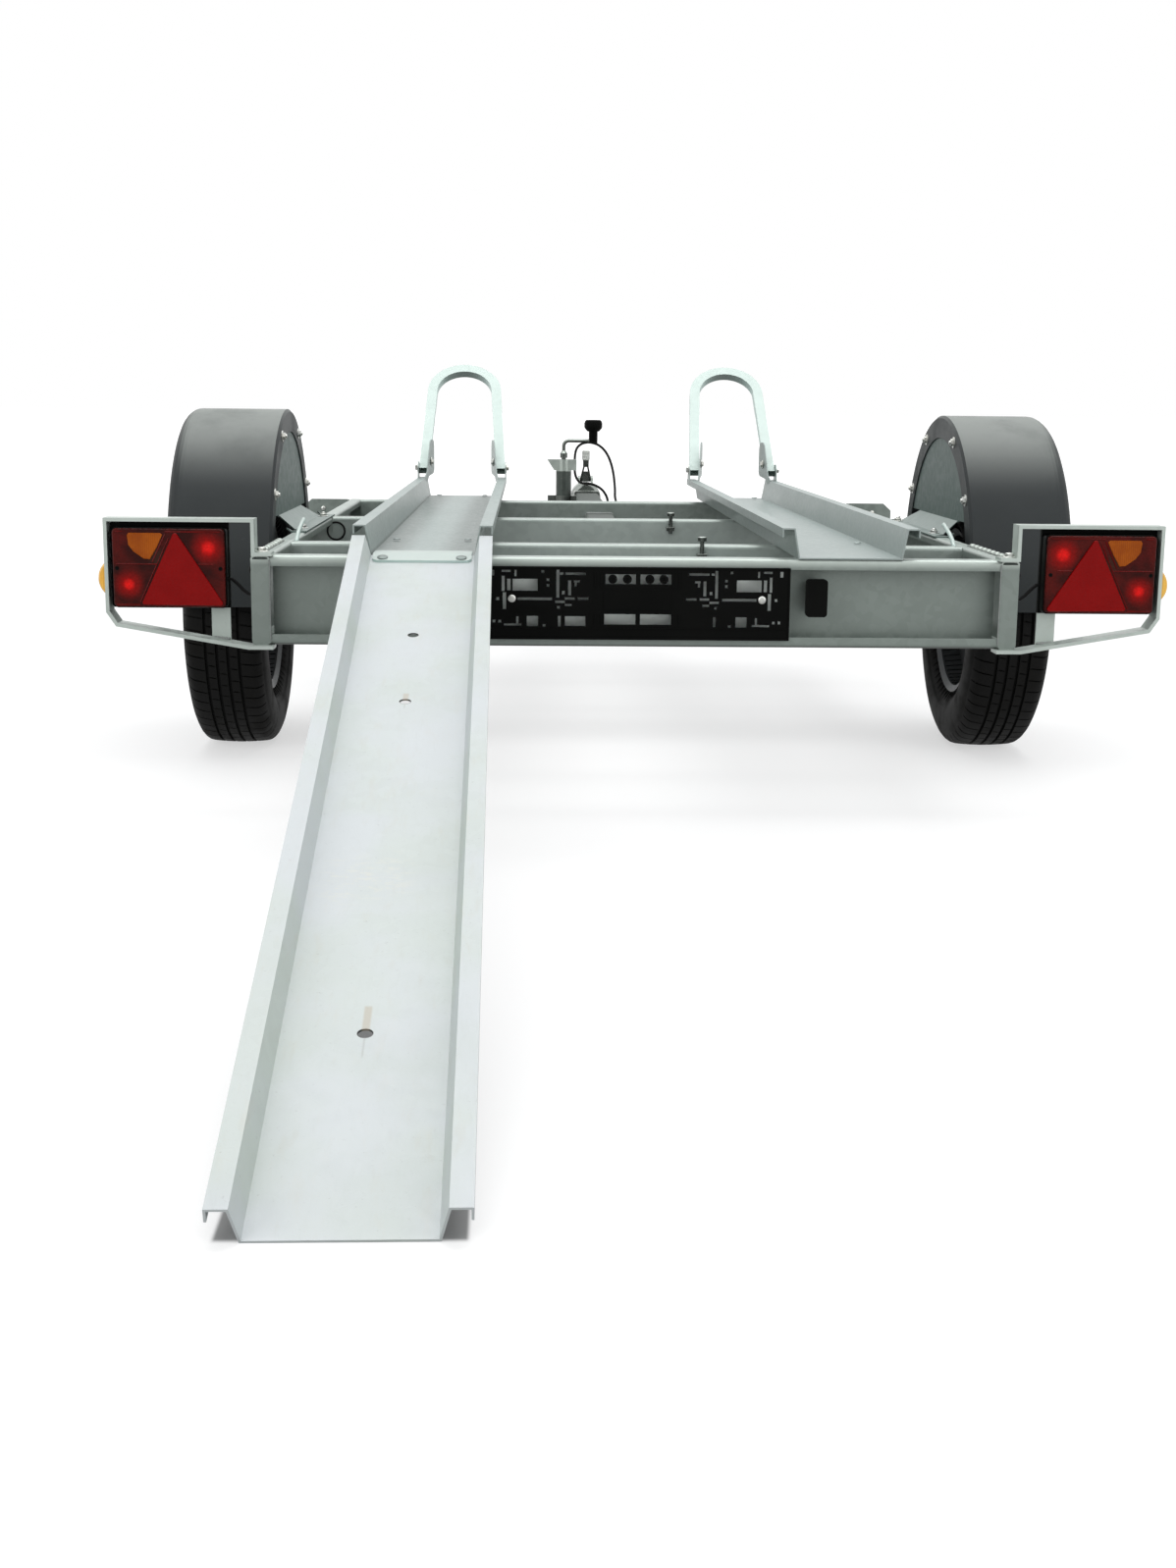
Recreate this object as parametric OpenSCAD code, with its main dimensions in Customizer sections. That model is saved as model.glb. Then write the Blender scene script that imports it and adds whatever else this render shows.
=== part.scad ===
/* [Frame] */
// Height of the top of the frame over the ground
deck_z = 465; // [400:1:560]
// Width of the frame over the side rails
frame_w = 1310; // [1100:10:1500]
// Length of the frame from the rear beam to the front beam
frame_len = 1840; // [1600:10:2100]
// Height of the side rails and of the rear and front beams
beam_h = 152; // [120:1:180]
// Depth of the rear and front beams from web to lip
beam_depth = 45; // [35:1:60]
// Height of the lips on the rear and front beams
beam_lip = 18; // [12:1:24]
// Width of a side rail's flanges
side_w = 32; // [28:1:45]
// Height of the lips on a side rail
side_lip = 15; // [10:1:22]
// Steel thickness of beams, side rails and crossmembers
steel_t = 3; // [2:0.5:5]
// Outer radius of the beams' folded corners
beam_r = 7; // [5:0.5:9]
// Height of the two crossmembers
cross_h = 120; // [90:1:140]
// Depth of the two crossmembers
cross_depth = 42; // [32:1:55]
// Distance of the rear crossmember's web from the rear beam's face
cross_rear_y = 303; // [220:1:420]
// Distance of the middle crossmember's web from the rear beam's face
cross_front_y = 1062; // [1020:1:1300]

/* [Wheel rails] */
// Distance of each wheel rail's centre from the trailer's centre
rail_x = 364; // [300:1:420]
// Length of a wheel rail
rail_len = 2010; // [1900:10:2300]
// Width of a wheel rail's floor
rail_floor_w = 174; // [140:1:200]
// Width of a wheel rail between the tops of its walls
rail_top_w = 192; // [160:1:210]
// Overall width of a wheel rail over its flanges
rail_w = 236; // [200:1:260]
// Height of a wheel rail's walls
rail_h = 50; // [35:1:70]
// Height of the lips turned down on a wheel rail's flanges
rail_lip = 15; // [8:1:20]
// Sheet thickness of the wheel rails and the ramp
sheet_t = 2.5; // [2:0.5:4]
// Height of a wheel rail's ears over its flanges
ear_h = 100; // [70:1:130]
// Length of an ear along the rail
ear_len = 110; // [90:1:170]
// Distance between the front edges of a rail's two ears
ear_gap = 154; // [140:1:180]
// Height of the lugs outside a hoop's feet over the rail's flanges
lug_h = 42; // [30:1:60]

/* [Hoops] */
// Lean of the wheel hoops towards the front, from upright
hoop_lean = 45; // [20:1:50]
// Outer radius of a hoop's bend
hoop_r = 101; // [80:1:105]
// Height of a hoop measured along its lean
hoop_h = 390; // [300:1:450]
// Width of the hoop's tube
hoop_tube = 26; // [20:1:32]
// Depth of the hoop's tube
hoop_depth = 22; // [18:1:30]
// Wall of the hoop's tube
hoop_wall = 2.5; // [1.5:0.5:4]
// Height of a hoop's feet over the rail's flanges
hoop_gap = 10; // [5:1:40]

/* [Ramp] */
// Length of the loading ramp
ramp_len = 1743; // [1500:1:2200]
// Turn of the ramp seen from above, towards the right at its foot
ramp_turn = 0.5; // [0:0.1:1]
// Height of the ramp's walls
ramp_h = 35; // [25:1:50]
// Height of the lips turned down on the ramp's flanges
ramp_lip = 14; // [8:1:20]
// Gap between the rail's end and the line where the cleat folds
ramp_gap = 4; // [2:1:10]
// Width of the cleat that hooks the ramp on
cleat_w = 166; // [120:1:170]
// Length of the cleat on the rail's floor
cleat_hook = 50; // [30:1:80]
// Length of the cleat on the ramp
cleat_tail = 36; // [28:1:60]
// Thickness of the cleat
cleat_t = 4; // [3:0.5:6]
// Radius of the cleat's corners
cleat_r = 12; // [5:1:16]

/* [Wheels] */
// Overall diameter of a tyre
tyre_d = 580; // [560:1:600]
// Section width of a tyre
tyre_w = 165; // [150:1:175]
// Distance of a tyre's centre from the side of the frame
wheel_out = 140; // [130:1:150]
// Distance of the axle line from the rear beam's face
axle_y = 835; // [700:1:1000]
// Diameter of the rim's bead seat
rim_d = 330; // [325:1:335]
// Radius of the hub's bolt circle
hub_bolt_r = 56; // [50:1:58]
// Side of the axle's square tube
axle_tube = 60; // [50:1:70]
// Distance from the axle tube to the wheel's centre
arm_len = 145; // [120:1:170]
// Length of a swing arm's stub inside the axle tube
arm_stub = 80; // [60:1:120]
// Length of the axle's feet under the side rails
foot_len = 140; // [100:1:180]
// Thickness of the axle's feet
foot_t = 10; // [6:1:14]
// Radius of a hub's flange
hub_r = 72; // [68:1:76]
// Depth of a hub behind the wheel's centre
hub_back = 68; // [60:1:72]

/* [Mudguards] */
// Outer radius of a mudguard
guard_r = 343; // [330:1:360]
// Height of the mudguards' centre over the ground
guard_z = 359; // [345:1:375]
// Width of a mudguard
guard_w = 208; // [190:1:220]
// Distance of a mudguard's inner face from the side of the frame
guard_out = 30; // [23:1:35]
// Wall of a mudguard
guard_t = 3; // [2:0.5:4]
// Height of a mudguard's inner flange
guard_flange = 46; // [35:1:60]
// Radius of a mudguard's outer shoulder
guard_shoulder = 28; // [15:1:40]
// Angle by which a mudguard's ends pass the horizontal
guard_end = 6; // [0:1:12]
// Sheet thickness of the inner plates
plate_t = 3; // [2:0.5:4]

/* [Lamps] */
// Width of a lamp
lamp_w = 190; // [170:1:196]
// Height of a lamp
lamp_h = 135; // [110:1:140]
// Depth of a lamp with its lens
lamp_d = 48; // [40:1:60]
// Distance of a lamp guard's outer face from the side of the frame
loop_out = 241; // [235:1:250]
// Height of the top of a lamp guard over the frame
loop_rise = 62; // [50:1:75]
// Width of the lamp guards' flat bar
bar_w = 40; // [30:1:50]
// Thickness of the lamp guards' flat bar
bar_t = 6; // [5:1:8]

/* [Plate holder] */
// Width of the number plate holder
holder_w = 522; // [500:1:530]
// Height of the number plate holder
holder_h = 124; // [121:1:135]
// Thickness of the number plate holder
holder_t = 8; // [5:1:12]
// Gap between the number plate holder and a plate lamp
plate_lamp_gap = 27; // [20:1:40]
// Width of a plate lamp
plate_lamp_w = 36; // [30:1:44]
// Height of a plate lamp
plate_lamp_h = 64; // [50:1:72]

/* [Front lamps] */
// Width of a front lamp's bracket
bracket_w = 118; // [100:1:140]
// Height of a front lamp's bracket
bracket_h = 62; // [50:1:80]
// Radius of a front lamp
front_lamp_r = 26; // [20:1:30]

/* [Drawbar] */
// Side of the drawbar's square tube
drawbar_w = 70; // [60:1:80]
// Wall of the drawbar's tube
drawbar_wall = 4; // [3:0.5:6]
// Height of the drawbar's top over the ground
drawbar_top = 435; // [420:1:447]
// Front end of the drawbar
drawbar_front = 2990; // [2800:10:3200]
// Diameter of the ball that the coupling takes
ball_d = 50; // [50:0.5:50.5]

/* [Jockey wheel] */
// Place of the jockey wheel along the trailer
jockey_y = 2850; // [2700:10:2900]
// Outer diameter of the jockey wheel's mast
mast_d = 48; // [42:1:50]
// Height of the top of the mast over the ground
mast_top = 541; // [530:1:560]
// Diameter of the jockey wheel
castor_d = 200; // [180:1:210]
// Width of the jockey wheel
castor_w = 50; // [40:1:55]
// Length of the crank's arm
crank_arm = 92; // [70:1:110]

/* [Hidden] */
$fn = 48;
eps = 0.01;

// Distances of the holes in the ramp's floor from its upper end
ramp_holes = [353, 598, 1423];

// Ramp: slope at which its foot meets the ground, and the ends of the trailer
floor_z = deck_z + sheet_t;
ramp_reach = ramp_len * cos(ramp_turn) + rail_floor_w / 2 * sin(ramp_turn);
ramp_slope = asin(floor_z / norm([ramp_reach, sheet_t])) - atan(sheet_t / ramp_reach);
ramp_end = ramp_len * cos(ramp_turn) + rail_w / 2 * sin(ramp_turn);
ramp_end_y = -ramp_gap - ramp_end * cos(ramp_slope) - ramp_h * sin(ramp_slope);
head_r = 48;
head_z = drawbar_top - 20;
ball_y = drawbar_front + 92;
ball_z = drawbar_top - 30;
nose_y = ball_y + head_r;
mid_y = (ramp_end_y + nose_y) / 2;

// Frame
beam_z = deck_z - beam_h;
side_in = frame_w / 2 - side_w;
hoop_foot_y = rail_len - 34;
hoop_w = rail_w - 2 * sheet_t - 0.4;

// Wheels, mudguards and lamp guards beside the frame
wheel_z = tyre_d / 2;
wheel_x = frame_w / 2 + wheel_out;
guard_x = frame_w / 2 + guard_out;
loop_x = frame_w / 2 + loop_out;
ring_r = guard_r - guard_flange;
flap_z = guard_z + 135;
flap_half = sqrt(ring_r * ring_r - 135 * 135) - 14;

// Jockey wheel
jockey_x = -drawbar_w / 2 - 16 - mast_d / 2;
lift = 120;
trail = 25;
fork_top = castor_d + 14;
mast_low = fork_top + lift + 8;
leg_d = mast_d - 8;
leg_top = mast_low + 55;
screw_d = 14;

// Places of the lashing hooks along the side rails
hook_y = 370;

// Connector cable: gland on the drawbar's right side, over the lever, back over the coupling
cable_d = 8;
cable_gland_l = 14;
cable_route = [
    [drawbar_w / 2 + cable_gland_l, 2845, 398], [57, 2845, 398], [66, 2846.2, 398.3],
    [74.5, 2849.7, 399], [81.7, 2855.3, 400.3], [87.3, 2862.5, 402], [90.8, 2871, 404],
    [92.3, 2884, 407], [93, 2910, 413], [92, 2940, 423], [93, 2968, 441], [92, 2994, 466],
    [89, 3014, 493], [83, 3028, 520], [73, 3037, 546], [59, 3041, 567], [42, 3042, 581],
    [24, 3042, 588], [8, 3042, 590], [-8, 3041, 587.5], [-21, 3040, 580.5], [-30, 3037, 569.5],
    [-34.5, 3033, 554], [-36, 3026, 535], [-36.5, 3016, 514], [-35.5, 3004, 494],
    [-31, 2993, 478], [-22, 2984, 466], [-9, 2977, 461.5], [6, 2975, 460.5], [22, 2976, 458],
    [38, 2980, 451], [52, 2985, 441], [63, 2991, 427], [70, 2996, 411], [72, 2999, 394],
    [72, 2999, 378]
];

// Direction from one point to the next
function unit(v) = v / norm(v);

// Normal on the left of the line from a to b
function left_of(a, b) = let (d = unit(b - a)) [-d.y, d.x];

// Point i of path p moved sideways by t, with mitred corners
function beside(p, i, t) = let (
    n1 = i == 0 ? left_of(p[0], p[1]) : left_of(p[i - 1], p[i]),
    n2 = i == len(p) - 1 ? n1 : left_of(p[i], p[i + 1]),
    m = unit(n1 + n2)
) p[i] + m * t / (m * n1);

// Points on an arc about c
function arc(c, r, from, to, n) = [
    for (i = [0:n]) let (a = from + (to - from) * i / n) c + r * [cos(a), sin(a)]
];

// Folded sheet along path p
module folded(p, t) {
    polygon(concat(p, [for (i = [len(p) - 1:-1:0]) beside(p, i, t)]));
}

// Everything is drawn from the rear beam's face, then centred over the ground it covers
module placed() {
    translate([0, -mid_y, 0]) children();
}

// Profile in x and z, drawn forward from y0
module along_y(y0, length) {
    translate([0, y0 + length, 0]) rotate([90, 0, 0]) linear_extrude(length) children();
}

// Profile in y and z, drawn across from x0
module along_x(x0, length) {
    translate([x0, 0, 0]) rotate([90, 0, 90]) linear_extrude(length) children();
}

module on_side(side) {
    mirror([side < 0 ? 1 : 0, 0, 0]) children();
}

module rounded_rect(w, h, r) {
    translate([r, 0]) square([w - 2 * r, h]);
    translate([0, r]) square([w, h - 2 * r]);
    for (x = [r, w - r], y = [r, h - r]) translate([x, y]) circle(r);
}

// Lipped channel that opens towards -x, with its web at x = depth
module channel(depth, height, lip) {
    difference() {
        rounded_rect(depth, height, beam_r);
        translate([steel_t, steel_t])
            rounded_rect(depth - 2 * steel_t, height - 2 * steel_t, beam_r - steel_t);
        translate([-1, lip]) square([steel_t + 2, height - 2 * lip]);
    }
}

module rear_beam() {
    color("silver") placed() translate([0, 0, beam_z])
        along_x(-side_in, 2 * side_in) channel(beam_depth, beam_h, beam_lip);
}

module front_beam() {
    cut = drawbar_w;
    color("silver") placed() difference() {
        translate([0, frame_len - beam_depth, beam_z]) along_x(-side_in, 2 * side_in)
            translate([beam_depth, 0]) mirror([1, 0]) channel(beam_depth, beam_h, beam_lip);
        translate([-cut / 2, frame_len - beam_depth - 1, drawbar_top - cut])
            cube([cut, steel_t + 2, cut]);
    }
}

module side_rail(side) {
    color("silver") placed() on_side(side) {
        translate([side_in, 0, beam_z]) along_y(0, frame_len) channel(side_w, beam_h, side_lip);
        for (y = [0, frame_len - steel_t])
            translate([side_in, y, beam_z + steel_t])
                cube([side_w - steel_t, steel_t, beam_h - 2 * steel_t - 4]);
    }
}

module crossmember(y) {
    color("silver") placed() translate([0, y, deck_z - cross_h])
        along_x(-side_in, 2 * side_in)
            translate([cross_depth, 0]) mirror([1, 0]) channel(cross_depth, cross_h, beam_r + 1);
}

// Profile of a wheel trough, with its floor's top at y = 0
function trough(floor_w, top_w, w, h, lip) = [
    [-w / 2, h - lip], [-w / 2, h], [-top_w / 2, h], [-floor_w / 2, 0],
    [floor_w / 2, 0], [top_w / 2, h], [w / 2, h], [w / 2, h - lip]
];

// Outline of an ear, along its slanted plate and up from the rail's floor
module ear() {
    top = rail_h + ear_h;
    polygon([
        [0, rail_h - 8], [30, rail_h - 8], [46, rail_h + 4], [ear_len - 12, rail_h + 10],
        [ear_len - 3, rail_h + 15], [ear_len, rail_h + 24], [ear_len, top - 18],
        [ear_len - 4, top - 6], [ear_len - 14, top], [ear_len - 34, top],
        [ear_len - 46, top - 6], [24, rail_h + 14], [0, rail_h + 2]
    ]);
}

// Outline of the lug outside a hoop's foot, in y and z
module lug() {
    polygon([
        [-78, rail_h - 2], [-72, rail_h + lug_h - 12], [-62, rail_h + lug_h],
        [-34, rail_h + lug_h], [-26, rail_h + lug_h - 8], [-20, rail_h - 2]
    ]);
}

module wheel_rail(side) {
    toe = asin((rail_top_w - ear_gap) / 2 / ear_len);
    color("lightgray") placed() translate([side * rail_x, 0, floor_z]) {
        along_y(0, rail_len)
            folded(trough(rail_floor_w, rail_top_w, rail_w, rail_h, rail_lip), -sheet_t);
        for (s = [0, 1]) mirror([s, 0, 0]) {
            translate([ear_gap / 2, rail_len, 0]) rotate([0, 0, toe])
                translate([0, -ear_len, 0]) rotate([90, 0, 90]) linear_extrude(sheet_t) ear();
            translate([rail_w / 2 - sheet_t, rail_len, 0])
                rotate([90, 0, 90]) linear_extrude(sheet_t) lug();
        }
    }
}

// Line along the outside of a hoop's tube, from one foot to the other
function hoop_path(o, foot) = let (
    centre = hoop_h - hoop_r,
    flare = atan((hoop_w / 2 - hoop_r) / centre),
    r = hoop_r - o,
    x = (hoop_r - o) / cos(flare) + (centre + foot) * tan(flare)
) concat([[x, -foot]], arc([0, centre], r, flare, 180 - flare, 30), [[-x, -foot]]);

module hoop_band(inset, foot) {
    inner = hoop_path(hoop_tube - inset, foot);
    polygon(concat(hoop_path(inset, foot), [for (i = [len(inner) - 1:-1:0]) inner[i]]));
}

module hoop(side) {
    color("gainsboro") placed()
        translate([side * rail_x, hoop_foot_y, floor_z + rail_h + hoop_gap])
            rotate([90 - hoop_lean, 0, 0]) difference() {
                linear_extrude(hoop_depth) hoop_band(0, 0);
                translate([0, 0, hoop_wall])
                    linear_extrude(hoop_depth - 2 * hoop_wall) hoop_band(hoop_wall, 1);
            }
}

module ramp() {
    color("whitesmoke") placed() translate([-rail_x, -ramp_gap, floor_z])
        rotate([ramp_slope, 0, 0]) rotate([0, 0, ramp_turn]) difference() {
            along_y(-ramp_len, ramp_len)
                folded(trough(rail_floor_w, rail_top_w, rail_w, ramp_h, ramp_lip), -sheet_t);
            for (y = ramp_holes) translate([0, -y, -sheet_t - 1]) cylinder(r = 8, h = sheet_t + 2);
        }
}

module ramp_cleat() {
    low = cleat_tail * [cos(ramp_slope), sin(ramp_slope)];
    color("gainsboro") placed() translate([-rail_x, -ramp_gap, floor_z]) intersection() {
        along_x(-cleat_w / 2, cleat_w) folded([-low, [0, 0], [cleat_hook, 0]], cleat_t);
        translate([-cleat_w / 2, -low.x - 1.1, -50])
            linear_extrude(100) rounded_rect(cleat_w, low.x + cleat_hook + 1.1, cleat_r);
    }
}

// Turns a revolved shape so that its axis runs along x, from the wheel's centre
module wheel_placed(side) {
    placed() on_side(side) translate([wheel_x, axle_y, wheel_z]) rotate([90, 0, 90]) children();
}

module tyre(side) {
    r = tyre_d / 2;
    bead = rim_d / 2 + 0.3;
    h = tyre_w / 2;
    color("#1b1b1c") wheel_placed(side) rotate_extrude($fn = 96) difference() {
        polygon([
            [bead, -54], [bead + 12, -59.5], [bead + 18, -66], [bead + 48, -h], [bead + 72, -h],
            [r - 22, -h + 8], [r - 8, -h + 18], [r, -h + 30], [r, h - 30], [r - 8, h - 18], [r - 22, h - 8],
            [bead + 72, h], [bead + 48, h], [bead + 18, 66], [bead + 12, 59.5], [bead, 54]
        ]);
        for (y = [-33, -11, 11, 33]) translate([r - 7, y - 3]) square([8, 6]);
    }
}

module rim(side) {
    r = rim_d / 2;
    color("silver") wheel_placed(side) difference() {
        rotate_extrude($fn = 96) {
            folded([
                [r + 12, 62], [r, 56], [r, 34], [r - 20, 26], [r - 20, -4],
                [r, -16], [r, -56], [r + 12, -62]
            ], -4);
            polygon([
                [33, 30], [hub_r, 30], [86, 42], [112, 40], [r - 23, 14],
                [r - 23, 9], [112, 35], [84, 37], [70, 25], [33, 25]
            ]);
        }
        for (a = [0:90:270]) rotate(a + 45) translate([hub_bolt_r, 0, 20]) cylinder(r = 8, h = 20);
        for (a = [0:45:315]) rotate(a) translate([122, 0, 0]) cylinder(r = 13, h = 60);
    }
}

module hub(side) {
    color("dimgray") wheel_placed(side) {
        rotate_extrude() polygon([
            [19, -hub_back], [34, -hub_back], [34, -20], [hub_r, -8], [hub_r, 25],
            [32, 25], [32, 46], [28, 54], [0, 54], [0, 48], [19, 48]
        ]);
    }
}

module axle_tube() {
    y = axle_y + arm_len;
    z = beam_z - foot_t - axle_tube;
    end = frame_w / 2 - 8;
    color("silver") placed() {
        difference() {
            translate([-end, y - axle_tube / 2, z]) cube([2 * end, axle_tube, axle_tube]);
            translate([-end - 1, y, z + axle_tube / 2]) rotate([0, 90, 0])
                cylinder(r = axle_tube / 2 - 7, h = 2 * end + 2);
        }
        for (s = [-1, 1])
            translate([s * (side_in + side_w / 2) - side_w / 2, y - foot_len / 2, beam_z - foot_t])
                cube([side_w, foot_len, foot_t]);
    }
}

module swing_arms() {
    y = axle_y + arm_len;
    z = beam_z - foot_t - axle_tube / 2;
    x = frame_w / 2 + 2;
    color("gray") placed() for (s = [-1, 1]) on_side(s) {
        translate([x - arm_stub, y, z]) rotate([0, 90, 0])
            cylinder(r = axle_tube / 2 - 7, h = arm_stub);
        translate([x, 0, 0]) rotate([90, 0, 90]) linear_extrude(16) {
            translate([y, z]) circle(30);
            translate([axle_y, wheel_z]) circle(26);
            polygon([
                [axle_y, wheel_z - 26], [y, z - 30], [y, z + 30], [axle_y, wheel_z + 26]
            ]);
        }
        translate([x, axle_y, wheel_z]) rotate([0, 90, 0])
            cylinder(r = 19 - 0.05, h = wheel_x - x + 46);
    }
}

module mudguard(side) {
    t = guard_t;
    r = guard_r;
    w = guard_w;
    path = concat(
        [[r - guard_flange, 0], [r - 5, 0], [r, 5]],
        arc([r - guard_shoulder, w - guard_shoulder], guard_shoulder, 0, 75, 5),
        [[r - guard_shoulder - 14, w]]
    );
    color("#4b4f50") placed() on_side(side) translate([guard_x, axle_y, guard_z])
        rotate([90, 0, 90]) rotate([0, 0, -guard_end])
            rotate_extrude(angle = 180 + 2 * guard_end, $fn = 128) folded(path, t);
}

module mudguard_plate(side) {
    x = guard_x + guard_t;
    drop = flap_z - deck_z;
    color("silver") placed() on_side(side) {
        translate([x, 0, 0]) rotate([90, 0, 90]) linear_extrude(plate_t) intersection() {
            translate([axle_y, guard_z]) circle(guard_r - guard_t - 6, $fn = 128);
            translate([axle_y - guard_r, flap_z]) square([2 * guard_r, guard_r]);
        }
        translate([0, axle_y, 0]) difference() {
            translate([0, flap_half + 30, 0]) rotate([90, 0, 0])
                linear_extrude(2 * flap_half + 60) polygon([
                    [x, flap_z], [x + plate_t, flap_z], [x + plate_t, flap_z - 2],
                    [frame_w / 2 - 2, deck_z], [side_in, deck_z], [side_in, deck_z + plate_t],
                    [frame_w / 2 - 3, deck_z + plate_t], [x, flap_z - 1]
                ]);
            for (s = [-1, 1])
                translate([frame_w / 2, s * (flap_half + 30), flap_z])
                    rotate([0, 0, -s * 45]) translate([5, -40, -drop])
                        cube([80, 80, 2 * drop]);
        }
    }
}

module lamp_guard(side) {
    top = deck_z + loop_rise;
    inner = side_in + side_w - 4;
    low = beam_z + 56;
    foot = side_in - 6;
    path = [
        [foot, deck_z], [inner, deck_z], [inner, top], [loop_x, top], [loop_x, low + 4],
        [loop_x - 16, low - 20], [frame_w / 2, beam_z], [foot, beam_z]
    ];
    strap_x = frame_w / 2 + 38;
    color("gainsboro") placed() on_side(side) {
        translate([0, bar_w / 2, 0]) rotate([90, 0, 0]) linear_extrude(bar_w)
            polygon(concat(
                [[foot, deck_z], [foot, deck_z + bar_t], [inner - bar_t, deck_z + bar_t],
                 [inner - bar_t, top], [loop_x, top], [loop_x, low], [loop_x - 16, low - 24],
                 [frame_w / 2 + 4, beam_z - bar_t], [foot, beam_z - bar_t], [foot, beam_z],
                 [frame_w / 2 + 2, beam_z], [loop_x - 19, low - 18], [loop_x - bar_t, low + 2],
                 [loop_x - bar_t, top - bar_t], [inner, top - bar_t], [inner, deck_z]]
            ));
        translate([strap_x, bar_w / 2 - 4, beam_z + 4]) cube([32, 4, top - bar_t - beam_z - 4]);
    }
}

module lamp_body(side) {
    placed() on_side(side)
        translate([loop_x - bar_t - 8 - lamp_w, bar_w / 2 - 4 - lamp_d, deck_z + 47 - lamp_h])
            children();
}

module lamp_housing(side) {
    color("#161616") lamp_body(side) translate([0, lamp_d, 0]) rotate([90, 0, 0])
        linear_extrude(lamp_d - 14) rounded_rect(lamp_w, lamp_h, 8);
}

module lamp_lens(side) {
    color("darkred") lamp_body(side) {
        translate([2, 14, 2]) rotate([90, 0, 0])
            linear_extrude(11) rounded_rect(lamp_w - 4, lamp_h - 4, 7);
        translate([0, 3, 0]) rotate([90, 0, 0]) linear_extrude(3)
            polygon([[8, 6], [lamp_w - 40, 6], [lamp_w / 2 - 16, lamp_h - 6]]);
    }
}

module side_marker(side) {
    color("orange") placed() on_side(side) translate([loop_x, 0, deck_z - 40])
        intersection() {
            translate([-22, 0, 0]) scale(1) sphere(r = 36);
            translate([0, -18, -34]) cube([14, 36, 68]);
        }
}

module plate_holder() {
    pocket = 26;
    color("#141414") placed() translate([-holder_w / 2, 0, deck_z - 15 - holder_h]) difference() {
        rotate([90, 0, 0]) linear_extrude(holder_t) rounded_rect(holder_w, holder_h, 6);
        for (s = [-1, 1], i = [0:3], j = [0:1])
            translate([holder_w / 2 + s * (60 + i * 50) - pocket / 2, -holder_t - 1, 34 + j * 44])
                cube([pocket, holder_t - 2, 30]);
    }
}

module plate_lamp() {
    w = plate_lamp_w;
    h = plate_lamp_h;
    x = holder_w / 2 + plate_lamp_gap + w / 2;
    color("#141414") placed() for (s = [-1, 1])
        translate([s * x - w / 2, 0, deck_z - 33 - h]) {
            rotate([90, 0, 0]) linear_extrude(16) rounded_rect(w, h, 6);
            translate([8, -1, 8]) cube([w - 16, beam_depth - steel_t + 1, h - 16]);
        }
}

module bracket_plate() {
    w = bracket_w;
    h = bracket_h;
    polygon([[0, 0], [w, 0], [w, h - 18], [w - 20, h], [0, h]]);
}

module front_bracket() {
    color("silver") placed() for (s = [-1, 1]) on_side(s)
        translate([frame_w / 2, frame_len - 12, deck_z - bracket_h]) {
            rotate([90, 0, 0]) linear_extrude(steel_t) bracket_plate();
            translate([0, -40, 0]) cube([steel_t, 40, bracket_h]);
        }
}

module front_lamps() {
    color("whitesmoke") placed() for (s = [-1, 1]) on_side(s)
        translate([frame_w / 2 + bracket_w - 50, frame_len - 12, deck_z - bracket_h + 28])
            rotate([-90, 0, 0]) cylinder(r = front_lamp_r, h = 22);
}

module drawbar() {
    w = drawbar_w;
    start = cross_front_y + steel_t;
    color("silver") placed() translate([0, 0, drawbar_top - w]) difference() {
        along_y(start, drawbar_front - start) translate([-w / 2, 0]) rounded_rect(w, w, 6);
        along_y(start - 1, drawbar_front - start + 2)
            translate([-w / 2 + drawbar_wall, drawbar_wall])
                rounded_rect(w - 2 * drawbar_wall, w - 2 * drawbar_wall, 3);
    }
}

module coupling_body() {
    w = drawbar_w;
    t = 5;
    low = drawbar_top - w + 5;
    lug_y = ball_y - 24;
    color("gainsboro") placed() difference() {
        union() {
            along_y(drawbar_front - 110, 130) translate([-w / 2 - t, low])
                rounded_rect(w + 2 * t, w - 5 + t, 6);
            translate([0, drawbar_front - 30, head_z]) rotate([-90, 0, 0])
                cylinder(r1 = w / 2 + 2, r2 = head_r, h = 40);
            translate([0, drawbar_front + 10, head_z]) rotate([-90, 0, 0])
                cylinder(r = head_r, h = ball_y - drawbar_front - 10);
            translate([0, ball_y, head_z]) sphere(r = head_r);
            translate([0, ball_y, low]) cylinder(r = head_r, h = head_z - low);
            translate([-head_r, drawbar_front + 10, low])
                cube([2 * head_r, ball_y - drawbar_front - 10, head_z - low]);
            for (x = [-24, 18]) translate([x, 0, 0]) rotate([90, 0, 90]) linear_extrude(6) {
                translate([lug_y, head_z + 57]) circle(10);
                polygon([
                    [lug_y - 20, head_z + 38], [lug_y + 20, head_z + 38],
                    [lug_y + 9.2, head_z + 61], [lug_y - 9.2, head_z + 61]
                ]);
            }
        }
        translate([-w / 2, drawbar_front - 111, drawbar_top - w - 1]) cube([w, 111, w + 1]);
        translate([-head_r - 1, drawbar_front - 111, -1])
            cube([2 * head_r + 2, 300, low + 1]);
        translate([-head_r + t, drawbar_front - 1, low - 1])
            cube([2 * (head_r - t), ball_y - drawbar_front - 36, head_z - low + 16]);
        translate([0, ball_y, ball_z]) sphere(r = ball_d / 2 + 0.25);
        translate([0, ball_y, ball_z - 50]) cylinder(r = ball_d / 2 + 0.25, h = 50);
        translate([-30, lug_y, head_z + 57]) rotate([0, 90, 0]) cylinder(r = 5.05, h = 60);
    }
}

// Side view of the lever around its pivot, and its front view for the taper
module lever_side() {
    polygon([
        [7, -3], [9, 8], [0, 16], [-16, 34], [-24, 60], [-48, 60], [-42, 28], [-18, 2], [-8, -8],
        [0, -7.5]
    ]);
}

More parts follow.
